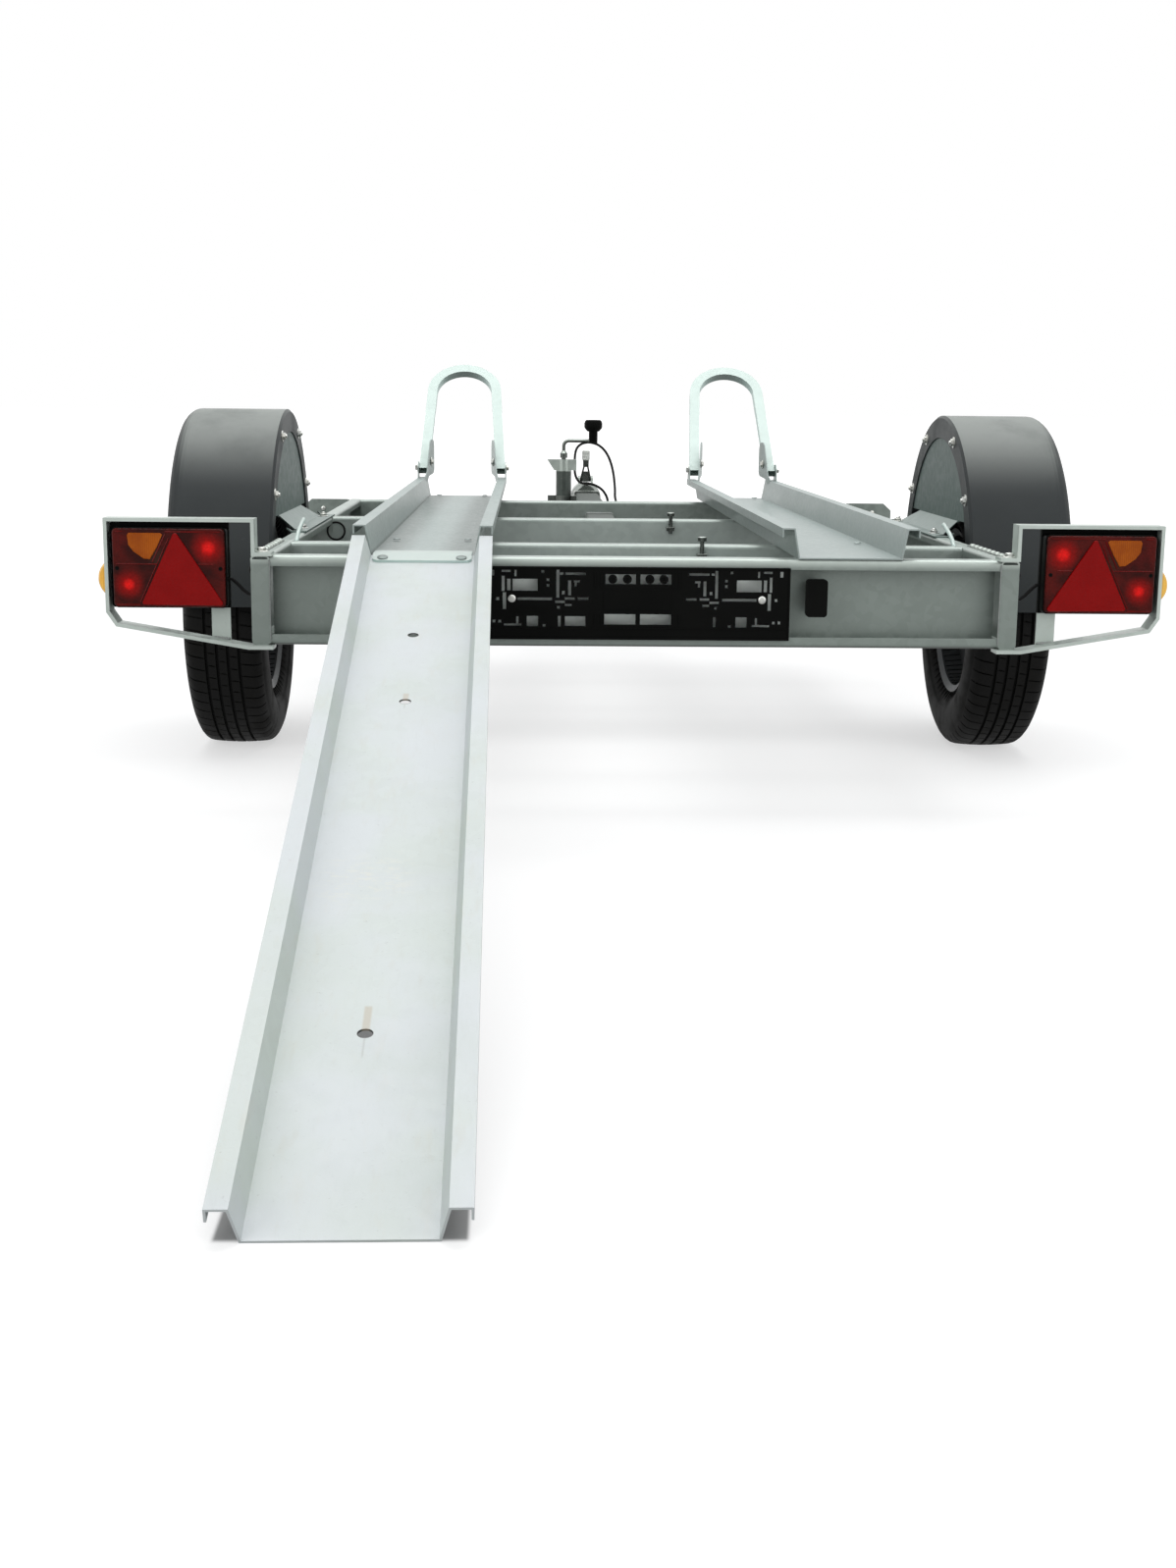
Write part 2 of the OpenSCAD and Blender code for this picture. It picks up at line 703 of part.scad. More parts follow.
module lever_front() {
    polygon([[-17, -10], [17, -10], [17, 6], [9, 40], [9, 61], [-9, 61], [-9, 40], [-17, 6]]);
}

module coupling_handle() {
    color("gainsboro") placed() translate([0, ball_y - 24, head_z + 57]) {
        difference() {
            intersection() {
                along_x(-20, 40) lever_side();
                along_y(-60, 90) lever_front();
            }
            along_y(-60, 52) polygon([[-11, -12], [11, -12], [11, 6], [4, 40], [-4, 40], [-11, 6]]);
        }
        rotate([0, 90, 0]) translate([0, 0, -25]) cylinder(r = 5, h = 50);
        translate([0, -36, 58]) {
            cylinder(r = 10, h = 6);
            translate([0, 0, 5]) cylinder(r = 12, h = 27);
            translate([0, 0, 32]) cylinder(r1 = 12, r2 = 9, h = 3);
        }
    }
}

module jockey_clamp() {
    z = drawbar_top - drawbar_w;
    h = drawbar_w - 12;
    x = jockey_x;
    color("silver") placed() difference() {
        union() {
            translate([-drawbar_w / 2 - 8, jockey_y - 30, z + 6]) cube([8, 60, h]);
            translate([-drawbar_w / 2 - 17, jockey_y - 22, z + 6]) cube([10, 44, h]);
            translate([x, jockey_y, z + 6]) cylinder(r = mast_d / 2 + 6, h = h);
            translate([x - mast_d / 2 - 26, jockey_y - 9, z + 6]) cube([28, 18, h]);
        }
        translate([x, jockey_y, z - 1]) cylinder(r = mast_d / 2, h = drawbar_w + 2);
        translate([x - mast_d / 2 - 27, jockey_y - 2, z - 1]) cube([30, 4, drawbar_w + 2]);
    }
}

module jockey_mast() {
    cap = 33;
    color("silver") placed() translate([jockey_x, jockey_y, 0]) {
        difference() {
            translate([0, 0, mast_low]) cylinder(r = mast_d / 2, h = mast_top - mast_low);
            translate([0, 0, mast_low - 1]) cylinder(r = mast_d / 2 - 3, h = mast_top - mast_low - 4);
            translate([0, 0, mast_top - 6]) cylinder(r = screw_d / 2 + 0.05, h = 8);
        }
        difference() {
            translate([0, 20, mast_top - cap]) rotate([90, 0, 0]) linear_extrude(40)
                polygon([[-30, 0], [40, 0], [40, cap], [-52, cap]]);
            translate([0, 0, mast_top - cap - 1]) cylinder(r = mast_d / 2 - eps, h = cap + 2);
            translate([-60, -17, mast_top - cap + 3]) cube([110, 34, cap - 6]);
        }
    }
}

module jockey_crank() {
    rod = 5.5;
    arm_z = mast_top + 58;
    bend = 16;
    knob = arm_z + 8;
    color("gainsboro") placed() translate([jockey_x, jockey_y, 0]) {
        translate([0, 0, mast_low + 12]) cylinder(r = screw_d / 2, h = mast_top - mast_low);
        translate([0, 0, mast_top + 5]) cylinder(r = 11.5, h = 14);
        translate([0, 0, mast_top + 19]) cylinder(r1 = 11.5, r2 = rod, h = 8);
        translate([0, 0, mast_top + 26]) cylinder(r = rod, h = 58 - 26 - bend);
        translate([bend, 0, arm_z - bend]) rotate([90, 0, 0])
            rotate([0, 0, 90]) rotate_extrude(angle = 90) translate([bend, 0]) circle(rod);
        translate([bend, 0, arm_z]) rotate([0, 90, 0]) cylinder(r = rod, h = crank_arm - bend + 8);
        translate([crank_arm, 0, arm_z - 6]) {
            cylinder(r = 13, h = 37);
            translate([0, 0, 36]) cylinder(r1 = 18, r2 = 26, h = 9);
            translate([0, 0, 45]) cylinder(r = 26, h = 20);
            translate([0, 0, 65]) cylinder(r1 = 26, r2 = 22, h = 5);
        }
    }
}

module jockey_leg() {
    color("gainsboro") placed() translate([jockey_x, jockey_y, 0]) {
        difference() {
            translate([0, 0, fork_top]) cylinder(r = leg_d / 2, h = leg_top - fork_top);
            translate([0, 0, fork_top + 14]) cylinder(r = leg_d / 2 - 3, h = leg_top - fork_top - 24);
            translate([0, 0, leg_top - 14]) cylinder(r = screw_d / 2 + 0.5, h = 16);
        }
        translate([0, 0, fork_top - 10]) cylinder(r = 8, h = 11);
    }
}

module jockey_fork() {
    axle_z = castor_d / 2;
    inner = castor_w / 2 + 5;
    color("silver") placed() translate([jockey_x, jockey_y, 0]) {
        difference() {
            translate([-inner - 4, -26, fork_top - 6]) cube([2 * inner + 8, 52, 5.5]);
            translate([0, 0, fork_top - 7]) cylinder(r = 8.05, h = 8);
        }
        for (s = [-1, 1]) translate([s > 0 ? inner : -inner - 4, 0, 0])
            rotate([90, 0, 90]) linear_extrude(4) {
                polygon([[-26, fork_top - 0.5], [26, fork_top - 0.5], [26, fork_top - 40],
                         [14 - trail, axle_z], [-14 - trail, axle_z], [-26 - 6, fork_top - 60]]);
                translate([-trail, axle_z]) circle(16);
            }
        translate([-inner - 9, -trail, axle_z]) rotate([0, 90, 0]) cylinder(r = 6, h = 2 * inner + 18);
    }
}

module jockey_wheel() {
    r = castor_d / 2;
    color("#222222") placed() translate([jockey_x, jockey_y - trail, r]) rotate([90, 0, 90])
        rotate_extrude() polygon([
            [6.05, -27], [14, -27], [14, -8], [r - 32, -6], [r - 32, -20], [r - 10, -castor_w / 2 + 1],
            [r, -castor_w / 2 + 9], [r, castor_w / 2 - 9], [r - 10, castor_w / 2 - 1],
            [r - 32, 20], [r - 32, 6], [14, 8], [14, 27], [6.05, 27]
        ]);
}

// Round cord or rod swept along hand-chosen points, with a ring of sides across each point
function along(p, i) = unit(p[min(i + 1, len(p) - 1)] - p[max(i - 1, 0)]);

function ring_at(p, i, r, sides) = let (
    d = along(p, i),
    u = unit(cross(abs(d.z) > 0.8 ? [0, 1, 0] : [0, 0, 1], d)),
    w = cross(d, u)
) [for (k = [0:sides - 1]) p[i] + r * (cos(360 * k / sides) * u + sin(360 * k / sides) * w)];

module swept(p, r, sides) {
    n = len(p);
    polyhedron(
        points = [for (i = [0:n - 1], q = ring_at(p, i, r, sides)) q],
        faces = concat(
            [[for (k = [sides - 1:-1:0]) k]],
            [for (i = [0:n - 2], k = [0:sides - 1]) let (m = (k + 1) % sides) [
                i * sides + k, i * sides + m, (i + 1) * sides + m, (i + 1) * sides + k
            ]],
            [[for (k = [0:sides - 1]) (n - 1) * sides + k]]
        )
    );
}

module lashing_hooks() {
    x = side_in;
    z = deck_z;
    color("gainsboro") placed() for (s = [-1, 1]) on_side(s)
        swept([
            [x - 4, hook_y - 40, z - 52], [x - 4, hook_y - 26, z - 20], [x - 4, hook_y - 14, z - 2],
            [x - 4, hook_y + 2, z + 8], [x - 5, hook_y + 22, z + 18], [x - 7, hook_y + 44, z + 27],
            [x - 9, hook_y + 62, z + 34]
        ], 4, 12);
}

module lamp_leads() {
    inner = loop_x - bar_t - 8 - lamp_w;
    web = frame_w / 2;
    z = deck_z - 41;
    color("#141414") placed() for (s = [-1, 1]) on_side(s)
        swept([
            [inner, 5, z], [inner - 5, 5, z], [inner - 13, 5, z - 7],
            [web + 13, 6, z - 19], [web + 5, 6, z - 25], [web, 6, z - 25]
        ], 3, 8);
}

module cable_gland() {
    color("#141414") placed() translate(cable_route[0] - [cable_gland_l, 0, 0]) rotate([0, 90, 0])
        cylinder(r1 = 9, r2 = cable_d / 2 + 1, h = cable_gland_l);
}

module connector_cable() {
    color("#141414") placed() swept(cable_route, cable_d / 2, 10);
}

module connector_plug() {
    low = cable_route[len(cable_route) - 1];
    color("#141414") placed() translate(low) {
        translate([0, 0, -14]) cylinder(r1 = 12, r2 = cable_d / 2 + 2, h = 14);
        translate([0, 0, -52]) cylinder(r = 18, h = 38);
        translate([0, 0, -58]) cylinder(r = 20, h = 7);
    }
}

rear_beam();
front_beam();
side_rail(-1);  // side_rail_left
side_rail(1);  // side_rail_right
crossmember(cross_rear_y);  // rear_crossmember
crossmember(cross_front_y);  // middle_crossmember
drawbar();
axle_tube();
swing_arms();
hub(-1);  // hubs_left
hub(1);  // hubs_right
tyre(-1);  // tyre_left
tyre(1);  // tyre_right
rim(-1);  // rim_left
rim(1);  // rim_right
mudguard(-1);  // mudguard_left
mudguard(1);  // mudguard_right
mudguard_plate(-1);  // mudguard_plate_left
mudguard_plate(1);  // mudguard_plate_right
wheel_rail(-1);  // wheel_rail_left
wheel_rail(1);  // wheel_rail_right
hoop(-1);  // hoop_left
hoop(1);  // hoop_right
ramp();
ramp_cleat();
lamp_guard(-1);  // lamp_guard_left
lamp_guard(1);  // lamp_guard_right
lamp_housing(-1);  // lamp_housing_left
lamp_housing(1);  // lamp_housing_right
lamp_lens(-1);  // lamp_lens_left
lamp_lens(1);  // lamp_lens_right
side_marker(-1);  // side_marker_left
side_marker(1);  // side_marker_right
plate_holder();
plate_lamp();
front_bracket();  // front_lamp_brackets
front_lamps();
lashing_hooks();
lamp_leads();
coupling_body();
coupling_handle();
jockey_clamp();
jockey_mast();
jockey_crank();
jockey_leg();
jockey_fork();
jockey_wheel();
cable_gland();
connector_cable();
connector_plug();
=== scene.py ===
import math
import bpy
import bmesh
from mathutils import Matrix, Vector


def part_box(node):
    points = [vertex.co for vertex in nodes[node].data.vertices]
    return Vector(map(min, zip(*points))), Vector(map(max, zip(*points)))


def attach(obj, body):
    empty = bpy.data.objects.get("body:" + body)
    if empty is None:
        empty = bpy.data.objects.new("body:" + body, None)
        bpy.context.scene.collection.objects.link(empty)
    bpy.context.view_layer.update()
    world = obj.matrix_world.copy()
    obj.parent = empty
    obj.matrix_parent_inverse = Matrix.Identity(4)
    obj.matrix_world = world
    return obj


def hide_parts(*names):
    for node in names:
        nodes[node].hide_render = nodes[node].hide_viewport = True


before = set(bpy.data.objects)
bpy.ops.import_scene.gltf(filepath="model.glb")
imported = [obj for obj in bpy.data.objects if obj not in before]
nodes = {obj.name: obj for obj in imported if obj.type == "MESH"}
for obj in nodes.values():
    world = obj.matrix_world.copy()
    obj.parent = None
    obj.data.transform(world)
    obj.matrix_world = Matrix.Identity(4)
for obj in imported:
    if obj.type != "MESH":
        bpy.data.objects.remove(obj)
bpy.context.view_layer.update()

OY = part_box("rear_beam")[0].y

# Places in millimetres that several pieces share, from the rear beam's face and the ground
SIDES = ((-1, "left"), (1, "right"))
WHEEL_X, WHEEL_Y, WHEEL_Z = 795, 835, 290
RAIL_X = 364
SIDE_X = 655
REAR_CROSS_Y = 324
MIDDLE_CROSS_Y = 1083
FRONT_Y = 1826
DRAWBAR_SIDE = 35
RAMP_SLOPE = math.radians(15.47)
RAMP_TURN = math.radians(0.5)
LAMP_X, LAMP_Z = 694, 379


def at(x, y, z):
    """A place in millimetres from the rear beam's face, as metres in the frame."""
    return Vector((x / 1000, y / 1000 + OY, z / 1000))


def on_lamp(side, u, v):
    """The x and z of a place on a rear lamp, from the lens's inner lower corner."""
    return (side * (LAMP_X + u), LAMP_Z + v)


# Camera
def camera():
    focal, pitch, yaw, roll = 1949.744, 0.198928, 0.032443, 0.010353
    film, photo_high = 36, 1598
    cam = bpy.data.cameras.new("camera")
    cam.sensor_fit = "VERTICAL"
    cam.sensor_height = film
    cam.lens = focal / photo_high * film
    cam.clip_end = 300
    obj = bpy.data.objects.new("camera", cam)
    bpy.context.scene.collection.objects.link(obj)
    fw = Vector((math.sin(yaw) * math.cos(pitch), math.cos(yaw) * math.cos(pitch), -math.sin(pitch)))
    rt = Vector((math.cos(yaw), -math.sin(yaw), 0))
    up = rt.cross(fw)
    r2 = rt * math.cos(roll) + up * math.sin(roll)
    u2 = up * math.cos(roll) - rt * math.sin(roll)
    m = Matrix((r2, u2, -fw)).transposed().to_4x4()
    m.translation = at(-186.2, -3259.2, 730.4)
    obj.matrix_world = m
    bpy.context.scene.camera = obj


camera()


# Node helpers
class Graph:
    """Short calls for the nodes of a material or a world."""

    def __init__(self, owner):
        owner.use_nodes = True
        self.owner = owner
        self.nt = owner.node_tree

    def node(self, kind, **kw):
        n = self.nt.nodes.new(kind)
        for k, v in kw.items():
            setattr(n, k, v)
        return n

    def put(self, socket, value):
        if isinstance(value, bpy.types.NodeSocket):
            self.nt.links.new(value, socket)
        elif isinstance(value, (tuple, list)) and len(value) == 3 and socket.type == "RGBA":
            socket.default_value = (*value, 1)
        else:
            socket.default_value = value

    def split(self, vector):
        n = self.node("ShaderNodeSeparateXYZ")
        self.put(n.inputs[0], vector)
        return n.outputs

    def ramp(self, fac, low, high, to_low=0.0, to_high=1.0):
        n = self.node("ShaderNodeMapRange", interpolation_type="SMOOTHSTEP")
        self.put(n.inputs["Value"], fac)
        if low > high:
            low, high, to_low, to_high = high, low, to_high, to_low
        for k, v in zip(("From Min", "From Max", "To Min", "To Max"), (low, high, to_low, to_high)):
            n.inputs[k].default_value = v
        return n.outputs["Result"]

    def math(self, op, *values):
        n = self.node("ShaderNodeMath", operation=op)
        for socket, value in zip(n.inputs, values):
            self.put(socket, value)
        return n.outputs[0]

    def between(self, value, low, high, soft):
        a = self.ramp(value, low - soft, low + soft)
        b = self.ramp(value, high + soft, high - soft)
        return self.math("MULTIPLY", a, b)

    def blend(self, share, a, b, output):
        """Mix two shaders by a share of the second, into an output node of the given kind."""
        mix = self.node("ShaderNodeMixShader")
        self.put(mix.inputs[0], share)
        self.put(mix.inputs[1], a)
        self.put(mix.inputs[2], b)
        self.put(self.node(output).inputs[0], mix.outputs[0])

    def mix(self, fac, a, b, blend="MIX"):
        n = self.node("ShaderNodeMix", data_type="RGBA", blend_type=blend)
        self.put(n.inputs[0], fac)
        self.put(n.inputs[6], a)
        self.put(n.inputs[7], b)
        return n.outputs[2]


class Surface(Graph):
    """A new material with a Principled shader, patterned in the object's own coordinates."""

    def __init__(self, name):
        super().__init__(bpy.data.materials.new(name))
        self.bsdf = self.nt.nodes["Principled BSDF"]
        self.coord = self.node("ShaderNodeTexCoord").outputs["Object"]

    def scaled(self, scale):
        m = self.node("ShaderNodeMapping")
        self.put(m.inputs["Vector"], self.coord)
        m.inputs["Scale"].default_value = scale
        return m.outputs["Vector"]

    def noise(self, scale, detail=3, rough=0.55, stretch=None):
        n = self.node("ShaderNodeTexNoise")
        self.put(n.inputs["Vector"], self.scaled(stretch) if stretch else self.coord)
        n.inputs["Scale"].default_value = scale
        n.inputs["Detail"].default_value = detail
        n.inputs["Roughness"].default_value = rough
        return n.outputs["Fac"]

    def cells(self, scale, out="Color"):
        n = self.node("ShaderNodeTexVoronoi")
        self.put(n.inputs["Vector"], self.coord)
        n.inputs["Scale"].default_value = scale
        return n.outputs[out]

    def grey(self, colour):
        n = self.node("ShaderNodeSeparateColor")
        self.put(n.inputs[0], colour)
        return n.outputs[0]

    def facing_up(self, low=0.3, high=0.95):
        normal = self.node("ShaderNodeNewGeometry").outputs["Normal"]
        return self.ramp(self.split(normal)["Z"], low, high)

    def facing_down(self):
        return self.facing_up(-0.35, -0.8)

    def axes(self):
        return self.split(self.coord)

    def near(self, centre, inner, outer, flat=(1, 1, 1)):
        """One within inner of a place and nothing past outer, with an axis left out where flat is 0."""
        n = self.node("ShaderNodeVectorMath", operation="SUBTRACT")
        self.put(n.inputs[0], self.coord)
        n.inputs[1].default_value = centre
        m = self.node("ShaderNodeVectorMath", operation="MULTIPLY")
        self.put(m.inputs[0], n.outputs[0])
        m.inputs[1].default_value = flat
        d = self.node("ShaderNodeVectorMath", operation="LENGTH")
        self.put(d.inputs[0], m.outputs[0])
        return self.ramp(d.outputs["Value"], outer, inner)

    def bump(self, height, strength, distance):
        n = self.node("ShaderNodeBump")
        n.inputs["Strength"].default_value = strength
        n.inputs["Distance"].default_value = distance
        self.put(n.inputs["Height"], height)
        self.put(self.bsdf.inputs["Normal"], n.outputs["Normal"])

    def set(self, **kw):
        for k, v in kw.items():
            self.put(self.bsdf.inputs[k.replace("_", " ")], v)
        return self.owner


def galvanised(name, side, top, metallic, rough, spangle=70, amount=0.5, stain=None, dirt=0.25, cloud=0.35,
               extra=None, bump=0.12, shine=0.5):
    """Zinc with spangle, lighter where it faces up (partly settled dust, partly painted light) and painted
    shade underneath, with clouds and specks of dirt.
    """
    g = Surface(name)
    # Partly settled dust and partly painted light from above: faces that point up take the lighter top
    # colour.
    base = g.mix(g.facing_up(), side, top)
    flakes = g.grey(g.cells(spangle))
    base = g.mix(amount, base, g.mix(flakes, (0.62, 0.64, 0.63), (1, 1, 1)), "MULTIPLY")
    clouds = g.ramp(g.noise(4, 4), 0.35, 0.7)
    base = g.mix(g.math("MULTIPLY", clouds, cloud), base, g.mix(0.75, base, (0.05, 0.055, 0.05)))
    spots = g.ramp(g.noise(160, 4, 0.7), 0.62, 0.74)
    base = g.mix(g.math("MULTIPLY", spots, dirt), base, (0.16, 0.15, 0.13))
    if stain:
        band = g.ramp(g.noise(7, 5, 0.6, stretch=(9, 0.7, 9)), 0.52, 0.72)
        base = g.mix(g.math("MULTIPLY", band, 0.5), base, stain)
    if extra:
        base = extra(g, base)
    # Painted shade: faces that point down are darkened towards near black.
    base = g.mix(g.math("MULTIPLY", g.facing_down(), 0.8), base, (0.035, 0.037, 0.034))
    r = g.math("ADD", g.math("MULTIPLY", flakes, 0.12), g.math("MULTIPLY", clouds, 0.3 * cloud))
    g.bump(g.math("ADD", g.noise(420, 3), g.math("MULTIPLY", flakes, 0.4)), bump, 0.0006)
    g.bsdf.inputs["Specular IOR Level"].default_value = shine
    return g.set(Base_Color=base, Metallic=metallic, Roughness=g.math("ADD", r, rough - 0.1))


def painted_lip_and_slot_light(g, base):
    """Painted highlight along the beam's upper lip, and painted light on the beam in shade behind the number
    plate holder.
    """
    x, y, z = g.axes()
    # Painted highlight: the upper lip's face is lightened towards pale zinc.
    painted_lip_highlight = g.math("MULTIPLY", g.ramp(z, 0.4475, 0.460), g.ramp(y, OY + 0.006, OY + 0.002))
    base = g.mix(g.math("MULTIPLY", painted_lip_highlight, 0.6), base, (0.60, 0.67, 0.62))
    # Painted light: the beam behind the holder's slots is lightened to near white.
    lo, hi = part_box("plate_holder")
    painted_slot_light = g.math("MULTIPLY", g.between(x, lo.x, hi.x, 0.004), g.between(z, lo.z, hi.z, 0.004))
    painted_slot_light = g.math("MULTIPLY", painted_slot_light, g.between(y, hi.y + 0.02, hi.y + 0.06, 0.006))
    return g.mix(painted_slot_light, base, (0.86, 0.92, 0.88))


def painted_reflection(g, base):
    """The left rail's floor as a painted reflection: a pale streak of sky along its middle, and a painted
    darker reflection beside it.
    """
    x, y, z = g.axes()
    # Painted reflection: the floor beside the middle streak is darkened.
    middle = g.near((-0.366, 0, 0), 0.012, 0.06, (1, 0, 0))
    sides = g.math("MULTIPLY", g.math("SUBTRACT", 1.0, middle), g.ramp(x, -0.1, -0.2))
    low = g.math("MULTIPLY", g.ramp(z, 0.474, 0.470), g.math("MULTIPLY", sides, 0.62))
    return g.mix(low, base, (0.10, 0.12, 0.112))


def collar(g, base):
    """The plate at the top of the jockey wheel's mast is paler than the tube."""
    x, y, z = g.axes()
    return g.mix(g.ramp(z, 0.503, 0.507), base, (0.36, 0.40, 0.37))


def wear_and_painted_hole_shade(g, base):
    """The ramp's holes painted dark as painted shade, with streaks at them, scuffs in its middle and a pale
    violet cast.
    """
    x, y, z = g.axes()
    cast = g.ramp(g.noise(6, 3, 0.5), 0.35, 0.65)
    base = g.mix(g.math("MULTIPLY", cast, 0.4), base, (0.585, 0.60, 0.66))
    fine = g.ramp(g.noise(30, 5, 0.7, stretch=(5, 0.8, 1)), 0.5, 0.75)
    base = g.mix(g.math("MULTIPLY", fine, 0.12), base, (0.40, 0.43, 0.40))
    for away, long in ((353, 0), (598, 20), (1423, 42)):
        c = at(-RAIL_X + away * math.sin(RAMP_TURN), -4 - away * math.cos(RAMP_SLOPE),
               467 - away * math.sin(RAMP_SLOPE))
        # Painted shade: each hole is painted near black.
        painted_hole_shade = g.near(tuple(c), 0.0083, 0.0088, (1, 1 / math.cos(RAMP_SLOPE), 0))
        base = g.mix(painted_hole_shade, base, (0.015, 0.015, 0.014))
        if not long:
            continue
        above = g.math("MULTIPLY", g.between(x, c.x - 0.004, c.x + 0.004, 0.0015),
                       g.between(y, c.y + 0.006, c.y + 0.006 + long / 1000, 0.003))
        base = g.mix(g.math("MULTIPLY", above, 0.55), base, (0.42, 0.36, 0.27))
        below = g.math("MULTIPLY", g.between(x, c.x - 0.001, c.x + 0.001, 0.001),
                       g.between(y, c.y - 0.006 - long / 1200, c.y, 0.003))
        base = g.mix(g.math("MULTIPLY", below, 0.35), base, (0.30, 0.30, 0.28))
    for cx, cy in ((-400, -1070), (-352, -1060)):
        patch = g.near(tuple(at(cx, cy, 0)), 0.01, 0.05, (1, 0.6, 0))
        marks = g.ramp(g.noise(45, 5, 0.75, stretch=(1, 2.5, 1)), 0.5, 0.62)
        base = g.mix(g.math("MULTIPLY", g.math("MULTIPLY", patch, marks), 0.4), base, (0.62, 0.62, 0.55))
    return base


def plated(name, colour, rough=0.28, tint=(0.75, 0.68, 0.5), shade=0.5, extra=None):
    g = Surface(name)
    haze = g.ramp(g.noise(35, 4), 0.35, 0.7)
    # Painted shade: the sides are a darker copy of the colour by the shade factor, and faces that point up
    # get the full colour as painted light.
    side = tuple(c * shade for c in colour)
    base = g.mix(g.facing_up(-0.3, 0.9), side, colour)
    base = g.mix(g.math("MULTIPLY", haze, 0.35), base, g.mix(0.5, base, tint))
    if extra:
        base = extra(g, base)
    marks = g.ramp(g.noise(90, 5, 0.7, stretch=(1, 1, 4)), 0.6, 0.72)
    base = g.mix(g.math("MULTIPLY", marks, 0.5), base, (0.2, 0.19, 0.17))
    g.bump(g.noise(500, 2), 0.08, 0.0004)
    r = g.math("ADD", g.math("MULTIPLY", haze, 0.2), rough)
    return g.set(Base_Color=base, Metallic=0.85, Roughness=r)


def plastic(name, colour, dusty, rough=0.45, dust=0.3, top=None, shine=0.2):
    g = Surface(name)
    # Painted sheen: faces that point up blend to the lighter top colour, as a painted reflection of the sky.
    base = g.mix(g.facing_up(0.55, 1.02), colour, top) if top else colour
    cloud = g.ramp(g.noise(9, 5, 0.6), 0.4, 0.75)
    base = g.mix(g.math("MULTIPLY", cloud, dust), base, dusty)
    scuff = g.ramp(g.noise(60, 4, 0.7, stretch=(1, 5, 1)), 0.63, 0.72)
    base = g.mix(g.math("MULTIPLY", scuff, dust), base, dusty)
    g.bump(g.noise(900, 2), 0.15, 0.0004)
    g.bsdf.inputs["Specular IOR Level"].default_value = shine
    return g.set(Base_Color=base, Roughness=g.math("ADD", g.math("MULTIPLY", cloud, 0.15), rough))


def rubber(name, colour, dusty):
    g = Surface(name)
    dust = 0.25
    cloud = g.ramp(g.noise(14, 5, 0.65), 0.45, 0.7)
    base = g.mix(g.math("MULTIPLY", cloud, dust), colour, dusty)
    grit = g.ramp(g.noise(260, 4, 0.7), 0.6, 0.75)
    base = g.mix(g.math("MULTIPLY", grit, dust * 0.7), base, dusty)
    g.bump(g.noise(380, 4), 0.25, 0.0005)
    g.bsdf.inputs["Specular IOR Level"].default_value = 0.12
    return g.set(Base_Color=base, Roughness=g.math("ADD", g.math("MULTIPLY", cloud, 0.2), 0.6))


def finish_lens(g, base, height, bump):
    g.bump(height, bump, 0.0012)
    g.bsdf.inputs["Specular IOR Level"].default_value = 0.1
    return g.set(Base_Color=base, Roughness=g.math("ADD", g.math("MULTIPLY", g.noise(28, 3), 0.12), 0.12))


def lens(name, colour, deep, pattern, bump=0.35, spread=0.5):
    g = Surface(name)
    cloud = g.ramp(g.noise(28, 3), 0.35, 0.65)
    base = g.mix(g.math("MULTIPLY", cloud, spread), colour, deep)
    if pattern == "prism":
        height = g.cells(330, out="Distance")
    elif pattern == "ribs":
        w = g.node("ShaderNodeTexWave", wave_type="BANDS", bands_direction="X")
        g.put(w.inputs["Vector"], g.coord)
        w.inputs["Scale"].default_value = 90
        height = w.outputs["Fac"]
    else:
        height = g.noise(120, 2)
    base = g.mix(g.math("MULTIPLY", height, 0.35), base, deep)
    return finish_lens(g, base, height, bump)


def lamp_lens(name, side):
    """The dark red lens, with painted light round its two bulbs where the reflectors behind it shine through.
    """
    g = Surface(name)
    grain = g.cells(260, out="Distance")
    base = g.mix(g.ramp(g.noise(18, 3), 0.35, 0.65), (0.030, 0.003, 0.002), (0.10, 0.006, 0.004))
    # Painted reflection: bright red pools round each bulb, with a near white-red core.
    for u, v, wide, core in ((27, 99, 34, 15), (160, 38, 30, 12)):
        x, z = on_lamp(side, u, v)
        c = tuple(at(x, -28, z))
        base = g.mix(g.near(c, core / 2000, wide / 1000, (1, 0, 1)), base, (0.34, 0.004, 0.003))
        base = g.mix(g.near(c, core / 4000, core / 1000, (1, 0, 1)), base, (0.95, 0.012, 0.010))
    x, z = on_lamp(side, 112, 84)
    brown = g.near(tuple(at(x, -28, z)), 0.006, 0.020, (1, 0, 1))
    base = g.mix(g.math("MULTIPLY", brown, 0.8), base, (0.05, 0.018, 0.010))
    base = g.mix(g.math("MULTIPLY", grain, 0.35), base, (0.02, 0.001, 0.001))
    return finish_lens(g, base, grain, 0.3)


